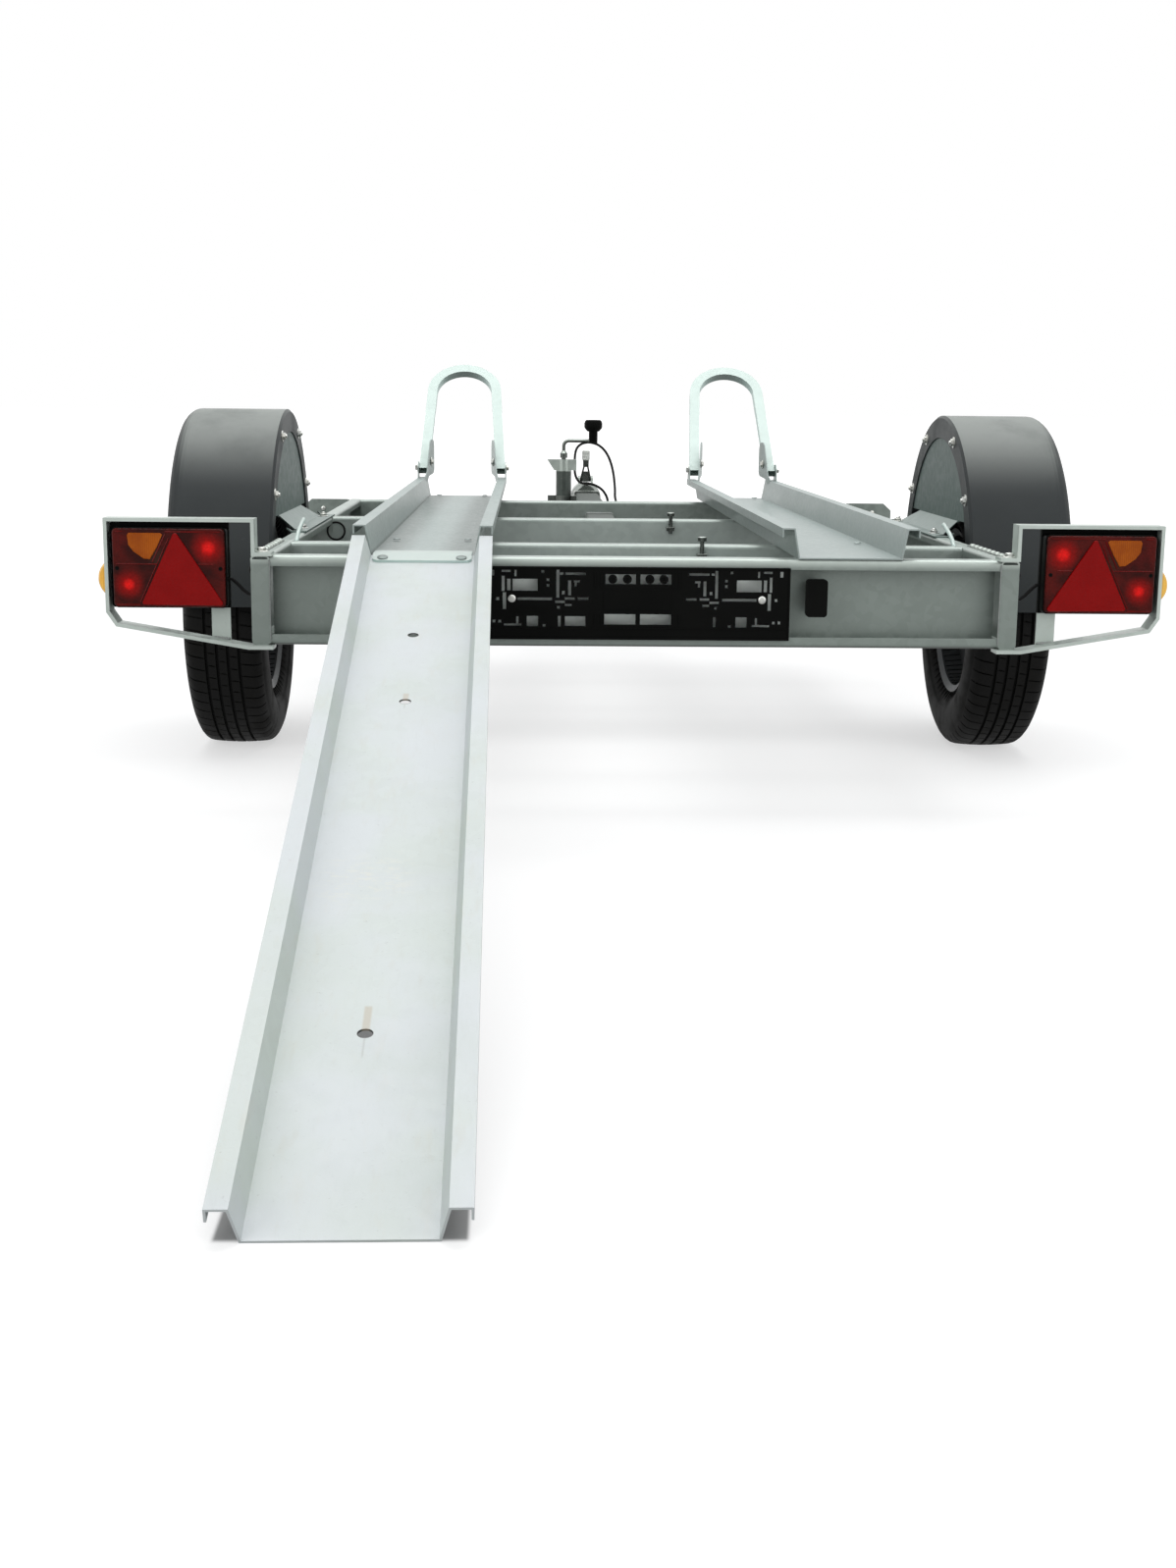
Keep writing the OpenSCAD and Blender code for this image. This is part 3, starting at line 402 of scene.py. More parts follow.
M = {
    "frame": galvanised("frame_galvanised", (0.225, 0.262, 0.24), (0.47, 0.53, 0.495), 0.4, 0.42, 80, 0.3,
                        dirt=0.15, cloud=0.12, extra=painted_lip_and_slot_light),
    # Painted light: the crossmembers get a lighter copy of the frame zinc, lifting them out of their shade.
    "cross": galvanised("crossmember_galvanised_painted_light", (0.35, 0.40, 0.375), (0.44, 0.50, 0.465), 0.4, 0.42, 80,
                        0.25, dirt=0.15, cloud=0.12),
    "drawbar": galvanised("drawbar_galvanised", (0.20, 0.23, 0.21), (0.12, 0.135, 0.125), 0.15, 0.7,
                          cloud=0.2),
    "rail": galvanised("rail_galvanised", (0.30, 0.35, 0.335), (0.34, 0.40, 0.385), 0.45, 0.40, 150, 0.15,
                       dirt=0.1, cloud=0.06, extra=painted_reflection),
    "bright": galvanised("bright_galvanised", (0.50, 0.63, 0.59), (0.50, 0.57, 0.54), 0.25, 0.42, 60, 0.03,
                         dirt=0, cloud=0.05, bump=0.012),
    "bar": galvanised("guard_bar_galvanised", (0.50, 0.56, 0.52), (0.54, 0.60, 0.56), 0.35, 0.38, 60, 0.15,
                      dirt=0.15, cloud=0.12),
    "ramp": galvanised("ramp_galvanised", (0.52, 0.575, 0.54), (0.54, 0.585, 0.565), 0.15, 0.52, 55, 0.18,
                       (0.50, 0.52, 0.475), 0.3, 0.05, wear_and_painted_hole_shade),
    "plate": galvanised("mudguard_plate_galvanised", (0.10, 0.135, 0.125), (0.34, 0.395, 0.375), 0.12, 0.5,
                        90, 0.06, dirt=0.05, cloud=0.08, bump=0.04, shine=0.15),
    "zinc": plated("zinc_plate", (0.36, 0.40, 0.37), 0.22, (0.18, 0.19, 0.17), 0.12),
    "mast": plated("mast_zinc", (0.13, 0.155, 0.14), 0.3, (0.12, 0.13, 0.12), 0.35, collar),
    "bolt": plated("bolt_zinc", (0.82, 0.84, 0.81), 0.3),
    "axle": galvanised("axle_steel", (0.07, 0.072, 0.075), (0.14, 0.145, 0.15), 0.4, 0.5),
    "hub": galvanised("hub_iron", (0.035, 0.033, 0.032), (0.07, 0.065, 0.06), 0.4, 0.6, 140),
    "rim": galvanised("rim_silver", (0.10, 0.105, 0.11), (0.2, 0.21, 0.22), 0.5, 0.38, 240, 0.25),
    "guard": plastic("mudguard_plastic", (0.019, 0.023, 0.024), (0.045, 0.050, 0.050), 0.46, dust=0.2,
                     top=(0.25, 0.27, 0.255), shine=0.25),
    "black": plastic("black_plastic", (0.003, 0.0033, 0.003), (0.010, 0.010, 0.009), 0.4, dust=0.2,
                     shine=0.04),
    "grip": plastic("grip_plastic", (0.74, 0.76, 0.72), (0.5, 0.48, 0.42), 0.4),
    "lamp_white": lens("lamp_white", (0.80, 0.82, 0.82), (0.55, 0.57, 0.58), "ribs"),
    "amber": lens("lamp_amber", (1.0, 0.60, 0.13), (0.85, 0.40, 0.05), "ribs", 0.25),
    "amber_deep": lens("lamp_amber_deep", (0.44, 0.105, 0.006), (0.22, 0.035, 0.003), "ribs", 0.25),
    "red_edge": lens("lamp_red_edge", (0.16, 0.004, 0.003), (0.06, 0.002, 0.001), "noise", 0.2, 0.6),
    "red": lens("reflector_red", (0.27, 0.002, 0.002), (0.18, 0.001, 0.001), "prism", 0.15, 0.3),
    "lens_left": lamp_lens("lamp_lens_left", -1),
    "lens_right": lamp_lens("lamp_lens_right", 1),
    "tyre": rubber("tyre_rubber", (0.0045, 0.0045, 0.0042), (0.016, 0.015, 0.013)),
    "cable": rubber("cable_rubber", (0.006, 0.006, 0.006), (0.02, 0.02, 0.019)),
    "weld": galvanised("weld_galvanised", (0.30, 0.32, 0.31), (0.5, 0.53, 0.51), 0.4, 0.5, 200),
}


# Mesh helpers
def piece(name, bm, mat, body, smooth=None, replaces=()):
    """A mesh object from bm, riding a body, smooth below an angle in degrees."""
    bmesh.ops.recalc_face_normals(bm, faces=bm.faces)
    me = bpy.data.meshes.new(name)
    bm.to_mesh(me)
    bm.free()
    obj = bpy.data.objects.new(name, me)
    bpy.context.scene.collection.objects.link(obj)
    me.materials.append(mat)
    if smooth:
        me.shade_smooth()
        me.set_sharp_from_angle(angle=math.radians(smooth))
    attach(obj, body)
    if replaces:
        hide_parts(*replaces)
    return obj


def frame_from(axis):
    z = Vector(axis).normalized()
    x = z.orthogonal().normalized()
    return Matrix((x, z.cross(x), z)).transposed()


def lathe(bm, centre, axis, profile, sides=24, turn=0.0, ring=False):
    """Profile of (height, radius) in millimetres round the axis, closed at both ends or back on itself."""
    rot = frame_from(axis)
    rings = []
    for h, r in profile:
        if r <= 0:
            rings.append([bm.verts.new(centre + rot @ Vector((0, 0, h / 1000)))])
            continue
        loop = []
        for i in range(sides):
            a = 2 * math.pi * i / sides + turn
            loop.append(bm.verts.new(centre + rot @ Vector((r * math.cos(a), r * math.sin(a), h)) / 1000))
        rings.append(loop)
    loops = zip(rings, rings[1:] + rings[:1]) if ring else zip(rings, rings[1:])
    for a, b in loops:
        for i in range(sides):
            j = (i + 1) % sides
            if len(a) == 1 and len(b) > 1:
                bm.faces.new((a[0], b[j], b[i]))
            elif len(b) == 1 and len(a) > 1:
                bm.faces.new((a[i], a[j], b[0]))
            elif len(a) > 1:
                bm.faces.new((a[i], a[j], b[j], b[i]))
    for end in () if ring else (rings[0], rings[-1]):
        if len(end) > 1:
            bm.faces.new(end)


def bolt(bm, p, axis, flat=13, head=5.3, washer=True, turn=0.3, stub=0.0):
    """A hexagon head with a washer, its face on p, pointing along the axis."""
    r = flat / 2 / math.cos(math.pi / 6)
    w = 1.6 if washer else 0.0
    if washer:
        lathe(bm, p, axis, [(0, flat * 0.9), (1.2, flat * 0.9), (1.6, flat * 0.86), (1.6, r * 0.8)], 24)
    top = w + head
    lathe(bm, p, axis, [(w, flat / 2 * 0.97), (w + 0.3, r), (top - 0.9, r), (top, flat / 2 * 0.93)], 6, turn)
    if stub:
        s = flat * 0.3
        lathe(bm, p, axis, [(top - 0.5, s), (top + stub - 1, s), (top + stub, s - 1)], 14)


def dome(bm, p, axis, r=8, h=4.5):
    pts = [(0, r * 1.02), (0.6, r)]
    for i in range(1, 6):
        a = math.pi / 2 * i / 6
        pts.append((0.6 + h * math.sin(a), r * math.cos(a)))
    pts.append((0.6 + h, 0))
    lathe(bm, p, axis, pts, 20)


def block(bm, lo, hi, chamfer=0.0):
    """A box with chamfered edges between two corners in millimetres."""
    made = bmesh.ops.create_cube(bm, size=1)
    vs = made["verts"]
    a, b = Vector(lo), Vector(hi)
    for v in vs:
        v.co = Vector([(a[i] + b[i]) / 2 + v.co[i] * (b[i] - a[i]) for i in range(3)])
    if chamfer:
        edges = list(dict.fromkeys(e for v in vs for e in v.link_edges))
        made = bmesh.ops.bevel(bm, geom=edges, offset=chamfer, segments=2, profile=0.5, affect="EDGES")
        vs = made["verts"]
    for v in vs:
        v.co = at(*v.co)


def tube(bm, pts, radii, sides=10):
    """A round bar through points in millimetres, with a radius at each."""
    pts = [Vector(p) for p in pts]
    if not isinstance(radii, (list, tuple)):
        radii = [radii] * len(pts)
    rings = []
    up = None
    for i, p in enumerate(pts):
        d = (pts[min(i + 1, len(pts) - 1)] - pts[max(i - 1, 0)]).normalized()
        u = (up - d * up.dot(d)).normalized() if up else d.orthogonal().normalized()
        up = u
        w = d.cross(u)
        ring = []
        for k in range(sides):
            a = 2 * math.pi * k / sides
            ring.append(bm.verts.new(at(*(p + radii[i] * (math.cos(a) * u + math.sin(a) * w)))))
        rings.append(ring)
    for a, b in zip(rings, rings[1:]):
        for i in range(sides):
            j = (i + 1) % sides
            bm.faces.new((a[i], a[j], b[j], b[i]))
    bm.faces.new(rings[0])
    bm.faces.new(rings[-1])


def smooth_path(points, step):
    """Points on a Catmull-Rom curve through the given ones, about a step apart."""
    p = [Vector(q) for q in points]
    p = [2 * p[0] - p[1]] + p + [2 * p[-1] - p[-2]]
    out = []
    for i in range(1, len(p) - 2):
        n = max(1, round((p[i + 1] - p[i]).length / step))
        for k in range(n):
            t = k / n
            a, b, c, d = p[i - 1], p[i], p[i + 1], p[i + 2]
            q = 2 * b + (c - a) * t
            q = q + (2 * a - 5 * b + 4 * c - d) * t * t
            q = q + (3 * b - a - 3 * c + d) * t ** 3
            out.append(0.5 * q)
    out.append(p[-2])
    return out


def weld(bm, a, b, r=3.5):
    """A weld bead with ripples from a to b in millimetres."""
    a, b = Vector(a), Vector(b)
    n = max(3, int((b - a).length / 2))
    pts = [a + (b - a) * i / n for i in range(n + 1)]
    radii = [r * (0.86 + 0.16 * math.sin(i * 2.1) + 0.08 * math.sin(i * 5.3)) for i in range(n + 1)]
    radii[0] = radii[-1] = r * 0.5
    tube(bm, pts, radii, 8)


def prism(bm, pts, y_back, y_front, inset=1.2):
    """An outline in x and z in millimetres, drawn from y_back to y_front with its front edge cut back."""
    c = Vector((sum(p[0] for p in pts) / len(pts), sum(p[1] for p in pts) / len(pts)))
    step = -1 if y_front < y_back else 1
    layers = []
    for y, k in ((y_back, 0), (y_front - step * inset, 0), (y_front, inset)):
        ring = []
        for p in pts:
            q = Vector(p)
            q = q + (c - q).normalized() * k if k else q
            ring.append(bm.verts.new(at(q.x, y, q.y)))
        layers.append(ring)
    for a, b in zip(layers, layers[1:]):
        for i in range(len(a)):
            j = (i + 1) % len(a)
            bm.faces.new((a[i], a[j], b[j], b[i]))
    bm.faces.new(layers[0])
    bm.faces.new(layers[-1])


# Connector cable, on the route of the source
def cable():
    route = [
        (49, 2845, 398), (57, 2845, 398), (66, 2846.2, 398.3), (74.5, 2849.7, 399), (81.7, 2855.3, 400.3),
        (87.3, 2862.5, 402), (90.8, 2871, 404), (92.3, 2884, 407), (93, 2910, 413), (92, 2940, 423),
        (93, 2968, 441), (92, 2994, 466), (89, 3014, 493), (83, 3028, 520), (73, 3037, 546),
        (59, 3041, 567), (42, 3042, 581), (24, 3042, 588), (8, 3042, 590), (-8, 3041, 587.5),
        (-21, 3040, 580.5), (-30, 3037, 569.5), (-34.5, 3033, 554), (-36, 3026, 535), (-36.5, 3016, 514),
        (-35.5, 3004, 494), (-31, 2993, 478), (-22, 2984, 466), (-9, 2977, 461.5), (6, 2975, 460.5),
        (22, 2976, 458), (38, 2980, 451), (52, 2985, 441), (63, 2991, 427), (70, 2996, 411),
        (72, 2999, 394), (72, 2999, 378),
    ]
    path = smooth_path(route, 5)
    bm = bmesh.new()
    tube(bm, path, 4, 14)
    obj = piece("cable_run", bm, M["cable"], "trailer", 60, ["connector_cable"])
    bm = bmesh.new()
    down = Vector((0, 0, -1))
    top = at(72, 2999, 378)
    lathe(bm, top, down, [(0, 6), (3, 8), (10, 11), (14, 12), (14.4, 16.5), (17, 18), (50, 18), (50.5, 20),
                          (57, 20), (58, 19), (58, 14), (46, 14), (46, 0)], 32)
    for i in range(12):
        a = math.pi * i / 6
        c = top + Vector((18 * math.cos(a), 18 * math.sin(a), -33)) / 1000
        lathe(bm, c + Vector((0, 0, 0.013)), down, [(0, 0.6), (1, 1.3), (25, 1.3), (26, 0.6)], 6)
    for i in range(6):
        a = math.pi * i / 3
        c = top + Vector((8 * math.cos(a), 8 * math.sin(a), -46)) / 1000
        lathe(bm, c, down, [(-1, 2), (9, 2), (10, 1.4)], 10)
    plug = piece("plug_shell", bm, M["black"], "trailer", 40, ["connector_plug"])


cable()


# Tyres with tread blocks
def tyre(side, name):
    right = [
        (0, 290), (7.8, 289.9), (8.4, 283), (13.4, 283), (14, 289.7), (22, 289.4), (30, 289), (30.6, 282),
        (35.4, 282), (36, 288.6), (45, 287.9), (55, 286.8), (62, 284.9), (67.5, 281), (72, 275.5),
        (75.4, 269), (76.6, 264.5), (78.4, 262), (80.5, 254), (82, 245), (82.5, 236), (82.5, 226),
        (81.9, 217), (80.2, 210), (79.4, 207.5), (77.6, 205.5), (75.5, 199), (71.5, 191), (67.5, 184.5),
        (64, 180.5), (60.8, 178), (58.8, 173.5), (56.2, 168.5), (54, 165.5),
    ]
    section = [(-x, r) for x, r in reversed(right[1:])] + right
    pitches = 66
    steps = ((0.0, 0), (0.012, 1), (0.10, 1), (0.112, 0), (0.5, 0), (0.512, 2), (0.6, 2), (0.612, 0))
    bm = bmesh.new()
    centre = at(side * WHEEL_X, WHEEL_Y, WHEEL_Z)
    rings = []
    for p in range(pitches):
        for f, zone in steps:
            ring = []
            for x, r in section:
                ax = abs(x)
                depth = 0.0
                if zone == 1 and 36.5 < ax < 73:
                    depth = 5.5 if ax < 63 else 3.0
                if zone == 2 and 14.5 < ax < 29.5:
                    depth = 5.0
                if zone == 1 and ax < 7.5:
                    depth = 2.5
                slant = 0.35 * x / 60 if ax < 76 else 0.35 * math.copysign(76, x) / 60
                a = 2 * math.pi * (p + f + slant) / pitches
                low = r - depth
                ring.append(bm.verts.new(centre + Vector((x, low * math.cos(a), low * math.sin(a))) / 1000))
            rings.append(ring)
    n = len(section)
    for a, b in zip(rings, rings[1:] + rings[:1]):
        for i in range(n):
            j = (i + 1) % n
            bm.faces.new((a[i], a[j], b[j], b[i]))
    piece("tyre_tread_" + name, bm, M["tyre"], "road_wheel_" + name, 28, ["tyre_" + name])


# Wheel bolts, centre cap and valve
def wheel_fittings(side, name):
    bm = bmesh.new()
    axis = (side, 0, 0)
    for k in range(4):
        a = math.radians(45 + 90 * k)
        p = at(side * (WHEEL_X + 30), WHEEL_Y + 56 * math.cos(a), WHEEL_Z + 56 * math.sin(a))
        lathe(bm, p, axis, [(-3, 7), (0, 11.5), (3, 11.5), (3, 9.2), (13, 9.2), (15, 7.5)], 6, 0.2 * k)
    piece("wheel_bolts_" + name, bm, M["bolt"], "road_wheel_" + name, 30)
    bm = bmesh.new()
    c = at(side * (WHEEL_X + 46), WHEEL_Y, WHEEL_Z)
    lathe(bm, c, axis, [(-8, 33), (-7.5, 34), (2, 34), (3, 33), (3.5, 30.5), (9, 29.5), (12, 27), (13, 22),
                        (12.4, 18), (12.4, 0)], 40)
    piece("hub_cap_" + name, bm, M["hub"], "road_wheel_" + name, 35)
    bm = bmesh.new()
    c = at(side * (WHEEL_X + 20), WHEEL_Y, WHEEL_Z + 158)
    lathe(bm, c, (side, 0, -0.35), [(-6, 5), (2, 5.2), (6, 3.8), (22, 3.6), (22.5, 4.4), (33, 4.2), (34, 3),
                                    (34, 0)], 14)
    piece("valve_" + name, bm, M["tyre"], "road_wheel_" + name, 35)


for wheel_side, wheel_name in SIDES:
    tyre(wheel_side, wheel_name)
    wheel_fittings(wheel_side, wheel_name)


# Rear lamps
LENS_W, LENS_H, LENS_R = 186, 131, 7
LENS_CORNERS = (
    (LENS_W - LENS_R, LENS_H - LENS_R, 0), (LENS_R, LENS_H - LENS_R, 90), (LENS_R, LENS_R, 180),
    (LENS_W - LENS_R, LENS_R, 270),
)


def rounded(corners, r, sweep, step):
    """An outline round corners given as a centre and a starting angle."""
    out = []
    for u, v, start in corners:
        for t in range(0, sweep + 1, step):
            a = math.radians(start + t)
            out.append((u + r * math.cos(a), v + r * math.sin(a)))
    return out


def lamp_plate(label, side, name, mat, pts, back, front, inset, replaces=()):
    """A flat piece of a rear lamp, from its outline on the lens."""
    bm = bmesh.new()
    turned = pts if side > 0 else list(reversed(pts))
    prism(bm, [on_lamp(side, *p) for p in turned], back, front, inset)
    piece(label + "_" + name, bm, mat, "trailer", 30, replaces)


def lens_ribs(side, name):
    bm = bmesh.new()
    for a, b in (((6, 126), (98, 126)), ((168, 126), (181, 126)), ((142, 4), (181, 4))):
        xa, z = on_lamp(side, *a)
        xb = on_lamp(side, *b)[0]
        block(bm, (min(xa, xb), -29.2, z - 1.1), (max(xa, xb), -27.5, z + 1.1), 0.4)
    for a, b in (((92, 116), (142, 8)), ((18, 72), (44, 72)), ((112, 72), (181, 72)), ((98, 122), (120, 76))):
        xa, za = on_lamp(side, *a)
        xb, zb = on_lamp(side, *b)
        tube(bm, [(xa, -28.2, za), (xb, -28.2, zb)], 1.1, 6)
    piece("lens_ribs_" + name, bm, M["red_edge"], "trailer", 30)


def lamp_seal(side, name, rim):
    """The black seal round the lens, and the lens's two screws."""
    bm = bmesh.new()
    for p, q in zip(rim, rim[1:] + rim[:1]):
        xa, za = on_lamp(side, *p)
        xb, zb = on_lamp(side, *q)
        tube(bm, [(xa, -19, za), (xb, -19, zb)], 1.9, 6)
    for u in (7, 179):
        x, z = on_lamp(side, u, 65)
        lathe(bm, at(x, -27.8, z), (0, -1, 0), [(0, 3.4), (0.9, 3.2), (0.9, 1.2), (0.4, 1.2), (0.4, 0)], 16)
    piece("lamp_seal_" + name, bm, M["black"], "trailer", 35)


def lamp(side, name):
    back = [(-3.5, -3.5), (192, -3.5), (195, 0), (195, 138), (192, 141), (-3.5, 141)]
    rim = rounded(LENS_CORNERS, LENS_R, 90, 18)
    triangle = rounded(((134, 8, -90), (81, 120, 30), (8, 7, 150)), 4, 120, 20)
    indicator = [
        (102, 121), (106, 124), (158, 124), (161, 120), (159, 104), (151, 93), (134, 81), (124, 80),
        (112, 100),
    ]
    lamp_plate("lamp_back", side, name, M["black"], back, 13, 3, 1.0)
    lamp_plate("lens_body", side, name, M["lens_" + name], rim, -18, -28, 1.6,
               ["lamp_lens_" + name])
    lamp_plate("reflector", side, name, M["red"], triangle, -27.5, -31.6, 1.0)
    lamp_plate("indicator", side, name, M["amber_deep"], indicator, -27.5, -29.4, 0.8)
    lens_ribs(side, name)
    lamp_seal(side, name, rim)


for lamp_side, lamp_name in SIDES:
    lamp(lamp_side, lamp_name)


# Number plate holder with its slots cut through
HOLDER_W = 522
HOLDER_H = 124
HOLDER_Z = 326
HOLDER_FACE = -6
HOLDER_BACK = -1.5


def holder_slots():
    """Slots as left, bottom, right and top, from the holder's centre line and lower edge."""
    pairs = (
        (88, 9.5, 123, 14), (126, 9.5, 132, 14), (132.7, 5, 138, 53), (98, 23, 108, 27), (103, 27, 107, 34),
        (112.6, 23, 118, 49), (123.3, 41, 128.4, 47), (83, 52, 101.5, 56.5), (106.5, 52, 123.3, 56.5),
        (123.3, 57.5, 140, 62), (111.6, 63, 123.3, 67), (131.7, 67, 136.7, 71.5), (145, 52.5, 204, 57.5),
        (158.5, 6, 163.5, 10.5), (149.5, 20, 154.5, 25), (149.5, 29.5, 154.5, 34.5), (169.6, 21, 212.3, 41.5),
        (205.5, 6, 209, 17), (215.6, 6, 230.7, 10), (215.6, 21, 221.6, 41), (225.7, 16, 230.7, 42),
        (243.4, 6, 249.2, 16), (223, 44, 229, 73), (235, 52.5, 240, 57.5), (130, 84, 135, 102),
        (168.6, 84, 188, 102), (156, 98, 161, 102.5), (202, 85, 206, 97), (197, 97, 227, 101),
        (231.5, 91, 236.5, 96), (241, 91, 246, 96),
    )
    single = (
        (-54.5, 12, -2.5, 29), (5, 12, 58.5, 29), (-56, 80, -2.5, 98), (5, 80, 58.5, 98),
        (-123, 84, -88, 101),
    )
    mirrored = [(-right, upper, -left, lower) for left, upper, right, lower in pairs]
    return [(a, HOLDER_H - d, c, HOLDER_H - b) for a, b, c, d in (*pairs, *mirrored, *single)]


def pierced_plate(bm, slots):
    """The holder's plate on a grid of the slots' edges, with walls where a slot or the outside begins."""
    ledge = {15.5, 18.5}
    us = sorted({-HOLDER_W / 2, HOLDER_W / 2} | {a for s in slots for a in (s[0], s[2])})
    vs = sorted({0, HOLDER_H} | ledge | {a for s in slots for a in (s[1], s[3])})
    made = {}

    def full(i, j):
        if not (0 <= i < len(us) - 1 and 0 <= j < len(vs) - 1):
            return False
        u, v = (us[i] + us[i + 1]) / 2, (vs[j] + vs[j + 1]) / 2
        return not any(a < u < c and b < v < d for a, b, c, d in slots)

    def vert(place, y):
        u, v = place
        key = (round(u, 3), round(v, 3), y)
        if key not in made:
            made[key] = bm.verts.new(at(u, y, HOLDER_Z + v))
        return made[key]

    for i in range(len(us) - 1):
        for j in range(len(vs) - 1):
            if not full(i, j):
                continue
            a, b, c, d = us[i], us[i + 1], vs[j], vs[j + 1]
            ring = ((a, c), (b, c), (b, d), (a, d))
            bm.faces.new([vert(p, HOLDER_FACE) for p in ring])
            bm.faces.new([vert(p, HOLDER_BACK) for p in reversed(ring)])
            left, right = ((a, d), (a, c)), ((b, c), (b, d))
            under, over = ((a, c), (b, c)), ((b, d), (a, d))
            for di, dj, (p, q) in ((-1, 0, left), (1, 0, right), (0, -1, under), (0, 1, over)):
                if not full(i + di, j + dj):
                    bm.faces.new((vert(p, HOLDER_FACE), vert(q, HOLDER_FACE), vert(q, HOLDER_BACK),
                                  vert(p, HOLDER_BACK)))


def holder_ribs(bm):
    end = HOLDER_W / 2
    block(bm, (-end, -8, HOLDER_Z), (end, -1, HOLDER_Z + 4), 1.0)
    block(bm, (-end, -7.2, HOLDER_Z + 18.5), (end, -5.6, HOLDER_Z + 20.5), 0.4)
    block(bm, (-end, -8, HOLDER_Z + HOLDER_H - 3), (end, -1, HOLDER_Z + HOLDER_H), 0.8)
    for s in (-1, 1):
        edge = s * (end - 1.5)
        block(bm, (edge - 1.5, -8, HOLDER_Z + 0.5), (edge + 1.5, -1, HOLDER_Z + HOLDER_H - 0.5), 0.8)
        for x in (61, 72):
            block(bm, (s * x - 1.5, -7.6, HOLDER_Z + 89), (s * x + 1.5, -5.6, HOLDER_Z + 116), 0.7)
            block(bm, (s * x - 1.5, -7.6, HOLDER_Z + 26), (s * x + 1.5, -5.6, HOLDER_Z + 44), 0.7)
    block(bm, (-58, -7, HOLDER_Z + 50), (58, -5.6, HOLDER_Z + 86), 0.8)


def holder():
    back = (0, -1, 0)
    bm = bmesh.new()
    pierced_plate(bm, holder_slots())
    holder_ribs(bm)
    for u in (-42, -17.3, 21, 45):
        ring = [(0, 7.6), (5, 7.6), (5.6, 7), (5.6, 3.2), (3.4, 3), (3.4, 0)]
        lathe(bm, at(u, -2, HOLDER_Z + HOLDER_H - 20.5), back, ring, 24)
    piece("holder_plate", bm, M["black"], "trailer", None, ["plate_holder"])
    bm = bmesh.new()
    for x in (-213.3, 213.3):
        head = [(0, 6.5), (0.8, 6.6), (1.6, 5.8), (2.0, 4.4), (2.0, 1.6), (1.2, 1.4), (1.2, 0)]
        lathe(bm, at(x, HOLDER_FACE, HOLDER_Z + 69.5), back, head, 24)
    piece("holder_screws", bm, M["bolt"], "trailer", 35)


holder()


# Bolts and small fittings on the frame
def side_bolts(bm, s):
    """Bolts of one side: beams, crossmembers, hoop feet, lamp brackets, lamp guard and axle plates."""
    for y, zs in ((FRONT_Y, (350, 428)), (REAR_CROSS_Y, (375, 440)), (MIDDLE_CROSS_Y, (375, 440))):
        for z in zs:
            bolt(bm, at(s * SIDE_X, y, z), (s, 0, 0), 13, 5.5)
    for k in (-1, 1):
        bolt(bm, at(s * RAIL_X + k * 118, 1956, 546), (k, 0, 0), 16, 6, True, 0.2, 0)
        bolt(bm, at(s * RAIL_X + k * 83.5, 1974, 560), (-k, 0, 0), 13, 5, True, 0.5, 0)
    for y in (FRONT_Y - 20, FRONT_Y - 6):
        bolt(bm, at(s * (SIDE_X + 3), y, 440), (s, 0, 0), 13, 5)
    for z in (425, 441):
        lathe(bm, at(s * (SIDE_X + 68), FRONT_Y, z), (0, -1, 0), [(-2, 4), (0, 6), (4, 6), (4.5, 5)], 6)
    bolt(bm, at(s * 636, 2, 471), (0, 0, 1), 13, 6)
    for y in (925, 1035):
        for x in (629, 646):
            bolt(bm, at(s * x, y, 303), (0, 0, -1), 13, 8, True, 0.1, 6)


def frame_bolts():
    bm = bmesh.new()
    for s in (-1, 1):
        side_bolts(bm, s)
    for z in (385, 415):
        for s in (-1, 1):
            bolt(bm, at(s * DRAWBAR_SIDE, 1085, z), (s, 0, 0), 16, 7)
            bolt(bm, at(s * DRAWBAR_SIDE, 1815, z), (s, 0, 0), 16, 7)
    for y in (2902, 2958):
        for s in (-1, 1):
            bolt(bm, at(s * 40, y, 402), (s, 0, 0), 18, 8, True, 0.2, 4 if s > 0 else 0)
    piece("frame_bolts", bm, M["bolt"], "trailer", 35)


def rail_bolts():
    """Flat heads on the rails' floors and the ramp's cleat."""
    bm = bmesh.new()
    for s in (-1, 1):
        for y, gap in ((REAR_CROSS_Y, 66), (1955, 61)):
            for x in (-gap, gap):
                dome(bm, at(s * RAIL_X + x, y, 470), (0, 0, 1), 7, 2)
    for x in (-RAIL_X - 66, -RAIL_X + 66):
        head = [(-3, 5.5), (0, 9), (1.4, 9), (2.6, 6.5), (3.4, 4), (3.6, 0)]
        lathe(bm, at(x, -28, 465.1), (0, -0.26, 0.96), head, 20)
    piece("rail_bolts", bm, M["rail"], "trailer", 35)


def clamp_studs():
    """Clamp studs on the crossmembers, and toothed strips on the side rails' outer top edges."""
    bm = bmesh.new()
    up = (0, 0, 1)
    for y, x in ((303, 136), (1062, 133)):
        c = at(x, y - 8, 440)
        lathe(bm, c, up, [(-6, 3.4), (-5.5, 4), (34, 4)], 14)
        lathe(bm, c, up, [(0, 7.5), (7, 7.5)], 6, 0.4)
        lathe(bm, c, up, [(7, 10), (8.6, 10)], 22)
        lathe(bm, c, up, [(33, 9), (34.2, 9), (34.2, 8.2), (40, 8.2), (41.2, 7), (41.6, 0)], 22)
        block(bm, (x - 9, y - 17, 446), (x + 9, y, 450), 0.8)
        block(bm, (x - 9, y - 4, 440), (x + 9, y, 450), 0.8)
    for s in (-1, 1):
        block(bm, (min(s * 652, s * 638), 26, 464.6), (max(s * 652, s * 638), 330, 467), 0.6)
        for i in range(19):
            c = at(s * (645 + 1.6 * (-1) ** i), 34 + i * 16, 466.8)
            lathe(bm, c, up, [(0, 6.6), (2.2, 5.6), (3.6, 3.4), (4, 0)], 10, i)
    piece("clamp_studs", bm, M["zinc"], "trailer", 35)


